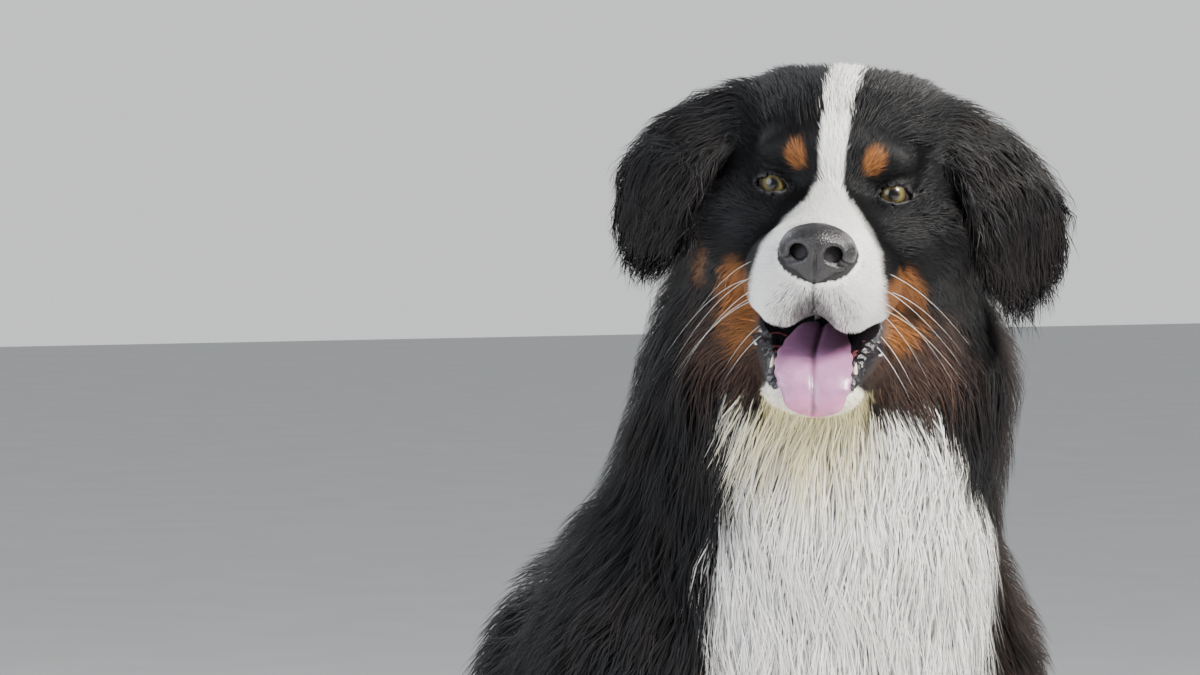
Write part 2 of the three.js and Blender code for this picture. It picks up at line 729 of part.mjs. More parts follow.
// legs, each less its claws
for (const s of [1, -1]) {
  const side = s > 0 ? "left" : "right";
  let fore = whole.legs.intersect(forelegCut(s, 0)).subtract(hindlegCut(s, GAP));
  let hind = whole.legs.intersect(hindlegCut(s, 0));
  for (const [name, make] of claws) {
    if (name.includes(`fore_${side}`)) fore = fore.subtract(make(GAP));
    if (name.includes(`hind_${side}`)) hind = hind.subtract(make(GAP));
  }
  place(`foreleg_${side}`, fore, "black");
  place(`hindleg_${side}`, hind, "black");
}
for (const [name, make] of claws) place(name, make(0), "claw");

// the origin goes to the middle of the outline's base
const box = new THREE.Box3().setFromObject(root);
const middle = box.getCenter(new THREE.Vector3());
root.children.forEach((m) => m.geometry.translate(-middle.x, -middle.y, -box.min.z));

export default root;
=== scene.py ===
import json
import math
import bpy
import numpy as np
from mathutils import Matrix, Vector, kdtree

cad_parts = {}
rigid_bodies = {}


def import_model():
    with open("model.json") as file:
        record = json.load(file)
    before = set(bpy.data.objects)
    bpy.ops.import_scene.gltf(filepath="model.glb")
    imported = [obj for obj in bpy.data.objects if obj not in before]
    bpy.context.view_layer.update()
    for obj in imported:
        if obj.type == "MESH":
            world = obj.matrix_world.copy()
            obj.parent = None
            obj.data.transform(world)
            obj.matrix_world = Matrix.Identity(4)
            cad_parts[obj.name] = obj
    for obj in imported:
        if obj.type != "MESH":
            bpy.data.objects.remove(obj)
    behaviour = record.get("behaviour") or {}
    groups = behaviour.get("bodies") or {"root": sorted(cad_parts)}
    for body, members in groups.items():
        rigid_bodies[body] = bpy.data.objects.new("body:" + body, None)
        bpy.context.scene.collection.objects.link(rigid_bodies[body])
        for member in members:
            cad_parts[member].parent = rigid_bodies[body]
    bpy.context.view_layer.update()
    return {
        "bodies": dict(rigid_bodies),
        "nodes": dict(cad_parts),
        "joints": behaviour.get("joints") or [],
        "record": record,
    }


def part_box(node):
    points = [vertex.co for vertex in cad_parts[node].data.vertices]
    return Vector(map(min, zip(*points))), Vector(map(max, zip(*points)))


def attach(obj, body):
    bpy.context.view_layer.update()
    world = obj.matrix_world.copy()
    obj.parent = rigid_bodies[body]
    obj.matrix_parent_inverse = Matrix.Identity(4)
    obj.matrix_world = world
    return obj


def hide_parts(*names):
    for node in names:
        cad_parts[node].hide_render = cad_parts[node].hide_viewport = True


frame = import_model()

RNG = np.random.default_rng(20)

# ------------------------------------------------------------------ the model's own frame, in millimetres
EYE_MID = np.array([-45.0, -259.0, 795.0])
HEAD_TURN, HEAD_NOD, HEAD_ROLL = (math.radians(a) for a in (33, 3, 5))
EYE_X, EYE_R, EYE_FORE = 41.0, 12.0, 5.0
STANCE, HIND_STANCE = 88.0, 160.0


def unit(v):
    v = np.asarray(v, float)
    return v / np.linalg.norm(v)


_fwd = np.array([-math.sin(HEAD_TURN) * math.cos(HEAD_NOD), -math.cos(HEAD_TURN) * math.cos(HEAD_NOD), -math.sin(HEAD_NOD)])
_left0 = np.array([math.cos(HEAD_TURN), -math.sin(HEAD_TURN), 0.0])
_up0 = np.cross(_fwd, _left0)
HEAD_Z = _up0 * math.cos(HEAD_ROLL) + _left0 * math.sin(HEAD_ROLL)
HEAD_X = _left0 * math.cos(HEAD_ROLL) - _up0 * math.sin(HEAD_ROLL)
HEAD_Y = -_fwd
HEAD = np.array([HEAD_X, HEAD_Y, HEAD_Z])  # rows
from_head = lambda q: EYE_MID + np.asarray(q, float) @ HEAD
to_head = lambda p: (p - EYE_MID) @ HEAD.T


def box_mid(node):
    lo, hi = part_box(node)
    return (np.array(lo) + np.array(hi)) / 2 * 1000


SHIFT = (box_mid("eye_left") + box_mid("eye_right")) / 2 - from_head([0, -EYE_FORE, 0])
SHIFT[2] = 0.0


def turned(a, b=0.0):
    ca, sa, cb, sb = math.cos(math.radians(a)), math.sin(math.radians(a)), math.cos(math.radians(b)), math.sin(math.radians(b))
    return np.array([[cb, sb, 0], [-sb * ca, cb * ca, sa], [sb * sa, -cb * sa, ca]])


# ------------------------------------------------------------------ the shapes under the coat
# Each: kind, its sizes with the coat on, how softly it joins, the coat's depth there, and the hair's length, width and lie.
class Shape:
    def __init__(s, kind, a, b, ra, rb=None, m=None, k=30.0, depth=20.0, length=40.0, width=1.6, lie=(0, 0, -1), rise=0.6, frame="body", part=0):
        s.kind, s.k, s.depth, s.length, s.width, s.rise, s.part = kind, k, depth, length, width, rise, part
        s.m = None
        if frame == "head":
            H = HEAD
            lie = np.asarray(lie, float) @ H
        if kind == "egg":
            s.c = from_head(a) if frame == "head" else np.asarray(a, float)
            s.r = np.maximum(np.asarray(ra, float) - depth, 3.0)
            mm = np.eye(3) if m is None else np.asarray(m, float)
            s.m = mm @ HEAD if frame == "head" else mm
            s.reach = float(s.r.max())
        else:
            s.a = from_head(a) if frame == "head" else np.asarray(a, float)
            s.b = from_head(b) if frame == "head" else np.asarray(b, float)
            s.ra, s.rb = max(ra - depth, 3.0), max(rb - depth, 3.0)
            s.c = (s.a + s.b) / 2
            s.reach = float(np.linalg.norm(s.b - s.a) / 2 + max(s.ra, s.rb))
        s.lie = unit(lie)

    def at(s, p):
        if s.kind == "egg":
            q = (p - s.c) @ s.m.T
            u = q / s.r
            k0 = np.sqrt((u * u).sum(1)) + 1e-9
            w = u / s.r
            k1 = np.sqrt((w * w).sum(1)) + 1e-9
            return k0 * (k0 - 1) / k1
        ab = s.b - s.a
        t = np.clip(((p - s.a) @ ab) / (ab @ ab), 0, 1)
        d = p - s.a - t[:, None] * ab
        return np.sqrt((d * d).sum(1)) - (s.ra + t * (s.rb - s.ra))


BODY, SKULL, CHOPS, EARS = [], [], [], []


def egg(lst, c, r, m=None, **kw):
    lst.append(Shape("egg", c, None, r, m=m, **kw))


def limb(lst, a, b, ra, rb, **kw):
    lst.append(Shape("limb", a, b, ra, rb, **kw))


BACK = (0, 0.55, -0.83)
egg(BODY, [0, -96, 508], [137, 132, 160], k=1, depth=26, length=62, width=1.9, lie=(0, 0.25, -1))
egg(BODY, [0, 12, 416], [182, 184, 152], k=60, depth=24, length=58, width=2.3, lie=(0, 0.45, -0.9))
egg(BODY, [0, 108, 312], [170, 172, 178], k=60, depth=22, length=56, width=2.6, lie=BACK)
egg(BODY, [0, 192, 190], [160, 146, 165], k=60, depth=24, length=62, width=2.6, lie=(0, 0.5, -0.9))
egg(BODY, [0, 228, 82], [135, 112, 100], k=40, depth=26, length=62, width=2.6, lie=(0, 0.6, -0.8))
egg(BODY, [0, 4, 580], [84, 82, 58], turned(-38), k=50, depth=26, length=60, width=2.2, lie=BACK)
egg(BODY, [0, -168, 520], [124, 92, 136], k=40, depth=24, length=86, width=1.7, lie=(0, -0.05, -1), rise=0.8)
egg(BODY, [0, -172, 420], [90, 68, 80], k=40, depth=24, length=88, width=1.8, lie=(0, 0.1, -1), rise=0.8)
for s in (1, -1):
    egg(BODY, [s * 100, -90, 456], [78, 98, 130], turned(8), k=40, depth=24, length=56, width=2.0, lie=(s * 0.1, 0.35, -1))
    limb(BODY, [s * 112, -110, 420], [s * 106, -72, 335], 84, 66, k=50, depth=22, length=52, width=2.0, lie=(0, 0.3, -1))
    limb(BODY, [s * 104, -80, 335], [s * 92, -122, 135], 62, 43, k=40, depth=9, length=24, width=1.6, lie=(0, -0.1, -1), rise=0.35)
    limb(BODY, [s * 92, -122, 135], [s * STANCE, -146, 52], 43, 43, k=24, depth=6, length=14, width=1.3, lie=(0, -0.3, -1), rise=0.3)
    egg(BODY, [s * 126, 138, 172], [86, 150, 136], turned(14, s * 4), k=50, depth=22, length=58, width=2.4, lie=(0, 0.35, -0.95))
    egg(BODY, [s * 146, 22, 202], [62, 62, 64], k=40, depth=14, length=38, width=2.0, lie=(s * 0.1, 0.1, -1))
    limb(BODY, [s * 150, 30, 180], [s * 150, 216, 66], 56, 42, k=30, depth=11, length=30, width=1.8, lie=(0, 0.6, -0.7), rise=0.4)
    limb(BODY, [s * 150, 214, 40], [s * 157, 60, 37], 42, 40, k=24, depth=7, length=16, width=1.5, lie=(0, -1, -0.15), rise=0.3)
for s in (1, -1):
    for at, out, z in (((s * (STANCE + 1), -168, 34), 8, 1.06), ((s * (HIND_STANCE + 2), 14, 32), 10, 0.98)):
        egg(BODY, at, [50 * z, 56 * z, 36 * z], k=20, depth=5, length=12, width=1.2, lie=(0, -1, -0.35), rise=0.3)
        for n in (-1.5, -0.5, 0.5, 1.5):
            a = math.radians(out * s + n * 13)
            reach = (40 if abs(n) > 1 else 52) * z
            egg(BODY, (at[0] + math.sin(a) * reach + n * 9 * z, at[1] - math.cos(a) * reach, 24 * z), [15.5 * z, 27 * z, 24 * z],
                k=7, depth=4, length=10, width=1.1, lie=(math.sin(a), -math.cos(a), -0.45), rise=0.25)
TAIL = [(0, 300, 98, 50), (6, 368, 62, 56), (48, 436, 52, 58), (118, 470, 48, 54), (186, 464, 38, 40), (236, 436, 24, 20)]
for (x0, y0, z0, r0), (x1, y1, z1, r1) in zip(TAIL, TAIL[1:]):
    limb(BODY, [x0, y0, z0 - (z0 - 36) * 0.25], [x1, y1, z1 - (z1 - 34) * 0.25 if z1 > 34 else 26], r0 - (4 if r0 > 30 else 0), r1 - (4 if r1 > 30 else 0), k=30, depth=min(30, r1 - 7), length=66, width=2.4, lie=(x1 - x0, y1 - y0, (z1 - z0) * 0.5), rise=0.7)
egg(BODY, [6, -128, 600], [144, 120, 96], k=40, depth=23, length=76, width=1.7, lie=(0, 0.12, -1), rise=0.8)
egg(BODY, [4, -158, 655], [140, 122, 84], k=36, depth=23, length=74, width=1.6, lie=(0, 0.12, -1), rise=0.8)
limb(BODY, [4, -156, 690], from_head([0, 90, -40]), 127, 106, k=30, depth=21, length=64, width=1.5, lie=(0, 0.2, -1), rise=0.75)
egg(BODY, [0, -196, 596], [100, 80, 96], k=30, depth=24, length=84, width=1.6, lie=(0, -0.05, -1), rise=0.85)

H = dict(frame="head", part=1)
egg(SKULL, [0, 62, 20], [80, 92, 62], k=1, depth=6, length=17, width=0.9, lie=(0, 1, 0.1), rise=0.3, **H)
egg(SKULL, [0, 116, 6], [66, 52, 58], k=30, depth=12, length=34, width=1.3, lie=(0, 0.7, -0.7), rise=0.5, **H)
egg(SKULL, [0, 66, -52], [66, 74, 60], k=30, depth=12, length=32, width=1.2, lie=(0, 0.8, -0.6), rise=0.5, **H)
limb(SKULL, [0, -22, -40], [0, -84, -50], 40, 31, k=22, depth=2.6, length=8, width=0.62, lie=(0, 1, 0.18), rise=0.22, **H)
for s in (1, -1):
    egg(SKULL, [s * 46, 64, 42], [34, 44, 34], k=24, depth=9, length=30, width=1.1, lie=(s * 0.5, 0.8, -0.1), rise=0.4, **H)
    egg(SKULL, [s * 74, 54, 8], [24, 30, 34], k=18, depth=8, length=28, width=1.1, lie=(s * 0.4, 0.6, -0.6), rise=0.4, **H)
    egg(SKULL, [s * 52, 18, -38], [40, 50, 50], k=22, depth=5, length=17, width=0.9, lie=(s * 0.35, 1, -0.35), rise=0.3, **H)
    egg(SKULL, [s * 58, 52, -62], [42, 46, 54], k=24, depth=10, length=30, width=1.1, lie=(s * 0.3, 0.8, -0.7), rise=0.45, **H)
    egg(SKULL, [s * 36, -10, 22], [20, 14, 13], k=14, depth=3, length=9, width=0.7, lie=(s * 0.45, 0.6, 0.5), rise=0.28, **H)
    egg(SKULL, [s * 24, -70, -60], [22, 33, 35], turned(8), k=16, depth=2.4, length=8, width=0.6, lie=(s * 0.15, 1, -0.35), rise=0.2, **H)
    egg(SKULL, [s * 38, -41, -62], [17, 34, 26], turned(-6), k=16, depth=3, length=10, width=0.7, lie=(s * 0.2, 1, -0.3), rise=0.24, **H)
    limb(CHOPS, [s * 36, 22, -94], [s * 20, -46, -130], 32, 19, k=20, depth=5, length=17, width=0.9, lie=(s * 0.3, 0.9, -0.5), rise=0.35, **H)
limb(CHOPS, [0, 20, -100], [0, -50, -134], 34, 18, k=16, depth=5, length=17, width=0.9, lie=(0, 0.9, -0.6), rise=0.4, **H)
egg(CHOPS, [0, -60, -138], [35, 19, 17], k=12, depth=3.4, length=11, width=0.75, lie=(0, 0.7, -0.7), rise=0.35, **H)
EAR = [(75, 44, 46, 24, 26, 15, 60, 6), (98, 42, 30, 33, 36, 12, 46, 6), (119, 40, 4, 37, 44, 11, 24, 6.5), (128, 38, -28, 42, 45, 10, 4, 7)]
EAR_FACE = math.radians(46)


def ear_rows(s, lift):
    o = math.radians(lift)
    along = np.array([s * math.sin(o), 0, -math.cos(o)])
    wide = np.array([s * math.cos(o), 0, math.sin(o)]) * math.cos(EAR_FACE) + np.array([0, math.sin(EAR_FACE), 0])
    return np.array([along, wide, np.cross(along, wide)])


for s in (1, -1):
    for i, (x, y, z, l, w, t, lift, dep) in enumerate(EAR):
        rows = ear_rows(s, lift)
        big = Shape("egg", [s * x, y, z], None, [l, w, t], m=rows, k=14 if i else 1, depth=dep, length=(30, 36, 40, 40)[i], width=1.05,
                    lie=rows[0] + rows[1] * 0.12, rise=0.35, frame="head", part=2 if s > 0 else 3)
        big.r = np.maximum(np.array([l, w, t], float) - np.array([8, 6, dep - 1]), 4.0)
        big.reach = float(big.r.max())
        EARS.append(big)
ALL = BODY + SKULL + CHOPS + EARS
CENTRES = np.array([s.c for s in ALL])
N_BODY, N_SKULL, N_CHOPS = len(BODY), len(SKULL), len(CHOPS)
I_BODY = range(0, N_BODY)
I_SKULL = range(N_BODY, N_BODY + N_SKULL)
I_CHOPS = range(N_BODY + N_SKULL, N_BODY + N_SKULL + N_CHOPS)
I_EAR_L = [i for i, s in enumerate(ALL) if s.part == 2]
I_EAR_R = [i for i, s in enumerate(ALL) if s.part == 3]


def ease(x, w):
    return np.clip(0.5 + x / (2 * w), 0, 1)


def blend(a, b, k):
    h = np.maximum(k - np.abs(a - b), 0) / k
    return np.minimum(a, b) - h * h * k * 0.25


def carve(a, b, k):
    """a less b, with the edge rounded by k"""
    return -blend(-a, b, k)


def egg_at(q, c, r, m=None):
    u = q - np.asarray(c, float)
    if m is not None:
        u = u @ np.asarray(m).T
    u = u / np.asarray(r, float)
    k0 = np.sqrt((u * u).sum(1)) + 1e-9
    w = u / np.asarray(r, float)
    return k0 * (k0 - 1) / (np.sqrt((w * w).sum(1)) + 1e-9)


def limb_at(q, a, b, ra, rb):
    a, b = np.asarray(a, float), np.asarray(b, float)
    ab = b - a
    t = np.clip(((q - a) @ ab) / (ab @ ab), 0, 1)
    d = q - a - t[:, None] * ab
    return np.sqrt((d * d).sum(1)) - (ra + t * (rb - ra))


def lid_rows(s):
    o = math.radians(18 * s)
    r = np.array([[math.cos(o), math.sin(o), -0.06 * s], [-math.sin(o), math.cos(o), 0], [0.06 * s, 0, 1.0]])
    return r


def gape_at(q):
    a = egg_at(q, [0, -56, -104], [43, 59, 17.5], turned(24))
    b = egg_at(q, [0, -40, -96], [50, 41, 12], turned(12))
    return np.minimum(a, b)


def eye_local(q, s):
    o = math.radians(18 * s)
    c = np.array([s * EYE_X, -EYE_FORE, 0.0])
    u = (q - c) @ lid_rows(s).T
    return u  # x across, outwards for s, y backwards, z up


def lid_gap(u, s):
    """the almond between the lids, in the eye's own frame: below nought inside it"""
    x = u[:, 0] * s
    up = 4.8 * np.clip(1 - (np.abs(x - 0.5) / 12.0) ** 2.0, 0, 1) ** 0.75 - 0.3
    lo = 4.9 * np.clip(1 - (np.abs(x + 0.5) / 12.0) ** 2.2, 0, 1) ** 0.8
    tilt = u[:, 2] - 0.05 * x
    return np.maximum(np.maximum(tilt - up, -lo - tilt), np.abs(x) - 12.0)


def head_detail(h, q, fine=True):
    """lids, mouth, nostril seat and folds on the head's own field"""
    near = (np.abs(q[:, 0]) < 75) & (q[:, 1] < 60) & (q[:, 1] > -150) & (np.abs(q[:, 2]) < 185)
    if not near.any():
        return h
    g = q[near]
    v = h[near]
    for s in (1, -1):
        u = eye_local(g, s)
        ball = np.sqrt((u * u).sum(1))
        # the socket's shallow dip, then the lids hugging the ball
        v = carve(v, egg_at(u, [0, -15, 1], [17, 9, 9.5]), 9)
        v = blend(v, np.maximum(ball - 14.9, u[:, 1] - 4), 5)
        front = np.maximum(lid_gap(u, s), u[:, 1] + 1)
        v = np.maximum(v, -np.maximum(front, ball - 17.5))
        v = np.maximum(v, -(ball - 12.25))
        # crease above the upper lid
        ring = np.sqrt((u[:, 0] - 0.5 * s) ** 2 + (u[:, 2] * 1.35 - 2.6) ** 2)
        crease = np.maximum(np.abs(ring - 13.6) - 0.4, 4.0 - u[:, 2])
        v = v + 0.45 * np.exp(-(np.maximum(crease, 0) / 1.4) ** 2) * (u[:, 1] < 0)
    # lips: a rounded rim round the gape, then the gape itself
    gp = gape_at(g)
    v = np.maximum(v, -gp)
    # the upper lip's cleft, from the nose down to the mouth
    cleft = (g[:, 1] < -78) * ease(-50 - g[:, 2], 4) * ease(g[:, 2] + 112, 4)
    v = v + 3.0 * np.exp(-(g[:, 0] / 1.7) ** 2) * cleft + 1.2 * np.exp(-(g[:, 0] / 6.0) ** 2) * cleft
    # where the nose leather sits
    v = blend(v, egg_at(g, [0, -92, -38], [23, 20, 19]), 6)
    h = h.copy()
    h[near] = v
    return h


def combine(vals, P, idx, fine=True):
    """the whole hide from each shape's own distance; vals maps shape index to array"""
    def chain(ids):
        d = None
        for i in ids:
            if i in vals:
                d = vals[i] if d is None else blend(d, vals[i], ALL[i].k)
        return d
    d = chain(I_BODY)
    sk, ch = chain(I_SKULL), chain(I_CHOPS)
    far = np.full(len(P), 400.0)
    h = sk if sk is not None else None
    if ch is not None:
        h = ch if h is None else blend(h, ch, 9)
    for ids in (I_EAR_L, I_EAR_R):
        e = chain(ids)
        if e is not None:
            h = e if h is None else blend(h, e, 12)
    if d is None:
        d = far
    if h is not None:
        d = blend(d, h, 34)
        q = to_head(P)
        d = head_detail(d, q, fine)
    return d


CELL = 48.0
_active = {}


def _actives(keys):
    """which shapes matter in each block of space"""
    new = [k for k in keys if k not in _active]
    if new:
        c = (np.array(new, float) + 0.5) * CELL
        D = np.array([s.at(c) for s in ALL])  # shapes x blocks
        reach = CELL * 0.87
        m = D.min(0)
        for j, k in enumerate(new):
            keep = [i for i in range(len(ALL)) if D[i, j] < m[j] + 2.3 * reach + ALL[i].k]
            _active[k] = keep
    return _active


def field(P, weights=False):
    P = np.ascontiguousarray(P, float)
    out = np.empty(len(P))
    attrs = np.zeros((len(P), 8)) if weights else None
    key = np.floor(P / CELL).astype(np.int64)
    code = (key[:, 0] + 500) * 1000000 + (key[:, 1] + 500) * 1000 + (key[:, 2] + 500)
    order = np.argsort(code, kind="stable")
    cs = code[order]
    starts = np.flatnonzero(np.r_[True, cs[1:] != cs[:-1]])
    ends = np.r_[starts[1:], len(cs)]
    keys = [tuple(key[order[a]]) for a in starts]
    act = _actives(keys)
    for a, b, k in zip(starts, ends, keys):
        for a2 in range(a, b, 60000):
            ids = order[a2:min(b, a2 + 60000)]
            p = P[ids]
            vals = {i: ALL[i].at(p) for i in act[k]}
            out[ids] = combine(vals, p, ids)
            if weights:
                idx = list(vals)
                D = np.array([vals[i] for i in idx])
                W = np.exp(-(D - D.min(0)) / 9.0)
                W /= W.sum(0)
                A = np.array([[ALL[i].depth, ALL[i].length, ALL[i].width, ALL[i].rise, *ALL[i].lie, ALL[i].part >= 1] for i in idx])
                attrs[ids] = W.T @ A
    return (out, attrs) if weights else out


TET = np.array([[1, -1, -1], [-1, -1, 1], [-1, 1, -1], [1, 1, 1]], float)


def gradient(P, h=0.5):
    n = len(P)
    vals = field((P[None] + TET[:, None] * h).reshape(-1, 3)).reshape(4, n)
    g = (TET[:, :, None] * vals[:, None, :]).sum(0).T / (4 * h)
    return g


def settle(P, times=2, h=0.5, limit=3.0):
    for _ in range(times):
        d = field(P)
        g = gradient(P, h)
        l2 = np.maximum((g * g).sum(1), 0.25)
        step = -(d / l2)[:, None] * g
        ln = np.linalg.norm(step, axis=1)
        step *= np.minimum(1, limit / np.maximum(ln, 1e-9))[:, None]
        P = P + step
    return P


# ------------------------------------------------------------------ surfaces from fields
def surface_nets(V, lo, cell):
    """V: distances on a grid. Returns points and quads."""
    S = V < 0
    n = V.shape
    nc = (n[0] - 1, n[1] - 1, n[2] - 1)
    size = nc[0] * nc[1] * nc[2]
    cid = lambda i, j, k: (i * nc[1] + j) * nc[2] + k
    acc_ids, acc_pts = [], []
    quads = []
    for ax in range(3):
        a = [slice(None)] * 3
        b = [slice(None)] * 3
        a[ax], b[ax] = slice(0, -1), slice(1, None)
        sa, sb = S[tuple(a)], S[tuple(b)]
        I = np.argwhere(sa != sb)
        o1, o2 = (ax + 1) % 3, (ax + 2) % 3
        ok = (I[:, o1] > 0) & (I[:, o2] > 0) & (I[:, o1] < n[o1] - 1) & (I[:, o2] < n[o2] - 1)
        I = I[ok]
        J = I.copy()
        J[:, ax] += 1
        va, vb = V[tuple(I.T)], V[tuple(J.T)]
        t = va / (va - vb)
        pt = I.astype(float)
        pt[:, ax] += t
        cells = []
        for d1, d2 in ((-1, -1), (0, -1), (0, 0), (-1, 0)):
            C = I.copy()
            C[:, o1] += d1
            C[:, o2] += d2
            c = cid(C[:, 0], C[:, 1], C[:, 2])
            cells.append(c)
            acc_ids.append(c)
            acc_pts.append(pt)
        q = np.stack(cells, 1)
        flip = vb < va
        q[flip] = q[flip][:, ::-1]
        quads.append(q)
    ids = np.concatenate(acc_ids)
    pts = np.concatenate(acc_pts)
    quads = np.concatenate(quads)
    used, inv = np.unique(ids, return_inverse=True)
    cnt = np.bincount(inv)
    P = np.stack([np.bincount(inv, pts[:, i]) / cnt for i in range(3)], 1)
    q = np.searchsorted(used, quads)
    return np.asarray(lo, float) + P * cell, q[:, ::-1]


def skin_mesh(cell):
    lo = np.array([-246.0, -400.0, -14.0])
    hi = np.array([276.0, 530.0, 905.0])
    step = 4
    nb = np.ceil((hi - lo) / (cell * step)).astype(int)
    n = nb * step + 1
    bi = np.stack(np.meshgrid(*[np.arange(x) for x in nb], indexing="ij"), -1).reshape(-1, 3)
    c = lo + (bi + 0.5) * cell * step
    d = field(c)
    half = cell * step * 0.87
    V = np.empty(n, np.float32)
    V[...] = 50.0
    big = np.repeat(np.repeat(np.repeat(np.where(d < 0, -50.0, 50.0).reshape(nb), step, 0), step, 1), step, 2)
    V[:-1, :-1, :-1] = big
    act = bi[np.abs(d) < half * 1.7]
    o = np.stack(np.meshgrid(*[np.arange(step + 1)] * 3, indexing="ij"), -1).reshape(-1, 3)
    idx = (act[:, None] * step + o[None]).reshape(-1, 3)
    code = (idx[:, 0] * n[1] + idx[:, 1]) * n[2] + idx[:, 2]
    code = np.unique(code)
    k = code % n[2]
    j = (code // n[2]) % n[1]
    i = code // (n[1] * n[2])
    P = lo + np.stack([i, j, k], 1) * cell
    V.reshape(-1)[code] = field(P)
    return surface_nets(V, lo, cell)


def tris_of(quads):
    return np.concatenate([quads[:, [0, 1, 2]], quads[:, [0, 2, 3]]])


def refine(V, F, mark):
    """split each marked triangle in four, and its neighbours to match"""
    e = np.sort(F[:, [0, 1, 1, 2, 2, 0]].reshape(-1, 3, 2), axis=2)
    code = e[:, :, 0].astype(np.int64) * (len(V) + 1) + e[:, :, 1]
    split = np.unique(code[mark])
    pos = np.searchsorted(split, code)
    pos = np.minimum(pos, len(split) - 1)
    has = split[pos] == code
    mid_a, mid_b = split // (len(V) + 1), split % (len(V) + 1)
    M = (V[mid_a] + V[mid_b]) / 2
    m = pos + len(V)
    V2 = np.concatenate([V, M])
    cnt = has.sum(1)
    out = [F[cnt == 0]]
    three = cnt == 3
    a, b, c = F[three].T
    ab, bc, ca = m[three].T
    out += [np.stack(x, 1) for x in ((a, ab, ca), (ab, b, bc), (ca, bc, c), (ab, bc, ca))]
    for r in range(3):
        sel = (cnt == 1) & has[:, r]
        f = np.roll(F[sel], -r, axis=1)
        x = m[sel, r]
        out += [np.stack((f[:, 0], x, f[:, 2]), 1), np.stack((x, f[:, 1], f[:, 2]), 1)]
        sel = (cnt == 2) & ~has[:, r]
        f = np.roll(F[sel], -r, axis=1)  # edge 0-1 whole; 1-2 and 2-0 split
        x, y = m[sel, (r + 1) % 3], m[sel, (r + 2) % 3]
        out += [np.stack((f[:, 0], f[:, 1], x), 1), np.stack((f[:, 0], x, y), 1), np.stack((y, x, f[:, 2]), 1)]
    return V2, np.concatenate(out)


def vertex_normals(V, F):
    n = np.cross(V[F[:, 1]] - V[F[:, 0]], V[F[:, 2]] - V[F[:, 0]])
    N = np.stack([np.bincount(F.ravel(), np.repeat(n[:, i], 3), len(V)) for i in range(3)], 1)
    return N / np.maximum(np.linalg.norm(N, axis=1), 1e-9)[:, None]


def make(name, V, F, mat, smooth=True, colours=None, floats=None, uv=None, nodes=(), move=True):
    """a mesh object in metres from points in millimetres"""
    P = (np.asarray(V, float) + (SHIFT if move else 0)) / 1000.0
    me = bpy.data.meshes.new(name)
    F = np.asarray(F)
    k = F.shape[1]
    me.vertices.add(len(P))
    me.vertices.foreach_set("co", P.astype(np.float32).ravel())
    me.loops.add(F.size)
    me.loops.foreach_set("vertex_index", F.astype(np.int32).ravel())
    me.polygons.add(len(F))
    me.polygons.foreach_set("loop_start", np.arange(0, F.size, k, dtype=np.int32))
    me.polygons.foreach_set("loop_total", np.full(len(F), k, dtype=np.int32))
    me.polygons.foreach_set("use_smooth", np.full(len(F), smooth, dtype=bool))
    me.update(calc_edges=True)
    if colours is not None:
        a = me.color_attributes.new("fur", "FLOAT_COLOR", "POINT")
        c = np.ones((len(P), 4), np.float32)
        c[:, :3] = colours
        a.data.foreach_set("color", c.ravel())
    for nm, arr in (floats or {}).items():
        a = me.attributes.new(nm, "FLOAT", "POINT")
        a.data.foreach_set("value", np.asarray(arr, np.float32))
    if uv is not None:
        layer = me.uv_layers.new(name="OFBake")
        layer.data.foreach_set("uv", np.asarray(uv, np.float32)[F.ravel()].ravel())
    ob = bpy.data.objects.new(name, me)
    bpy.context.scene.collection.objects.link(ob)
    me.materials.append(mat)
    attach(ob, "root")
    if nodes:
        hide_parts(*nodes)
    return ob


# ------------------------------------------------------------------ smooth noise, the same each run
_LAT = np.random.default_rng(5).random((32, 32, 32))


def noise(P, scale, seed=0):
    q = np.asarray(P) / scale + seed * 7.31
    i = np.floor(q).astype(int)
    f = q - i
    f = f * f * (3 - 2 * f)
    r = 0
    for dx in (0, 1):
        for dy in (0, 1):
            for dz in (0, 1):
                w = (f[:, 0] if dx else 1 - f[:, 0]) * (f[:, 1] if dy else 1 - f[:, 1]) * (f[:, 2] if dz else 1 - f[:, 2])
                r = r + w * _LAT[(i[:, 0] + dx) % 32, (i[:, 1] + dy) % 32, (i[:, 2] + dz) % 32]
    return r * 2 - 1


# ------------------------------------------------------------------ markings, from a point on the dog
BLACK = np.array([0.0026, 0.0025, 0.0031])
WHITE = np.array([0.80, 0.785, 0.755])
# yellow of light bounced up from below, a painted reflection
BOUNCE_YELLOW = np.array([0.80, 0.70, 0.38])
TAN = np.array([0.185, 0.072, 0.021])
RUST = np.array([0.036, 0.019, 0.0135])
GREY = np.array([0.16, 0.15, 0.155])
LIP = np.array([0.014, 0.012, 0.014])
GUM = np.array([0.30, 0.085, 0.09])
# painted shade inside the mouth
MOUTH_SHADE = np.array([0.045, 0.012, 0.014])

BIB_Z = [0, 300, 360, 400, 448, 492, 534, 562, 590, 625, 645, 668, 700]
BIB_L = [-30, -45, -84, -104, -116, -114, -112, -94, -102, -110, -106, -92, -68]
BIB_R = [30, 45, 78, 94, 102, 106, 106, 96, 62, 24, -4, -24, -40]


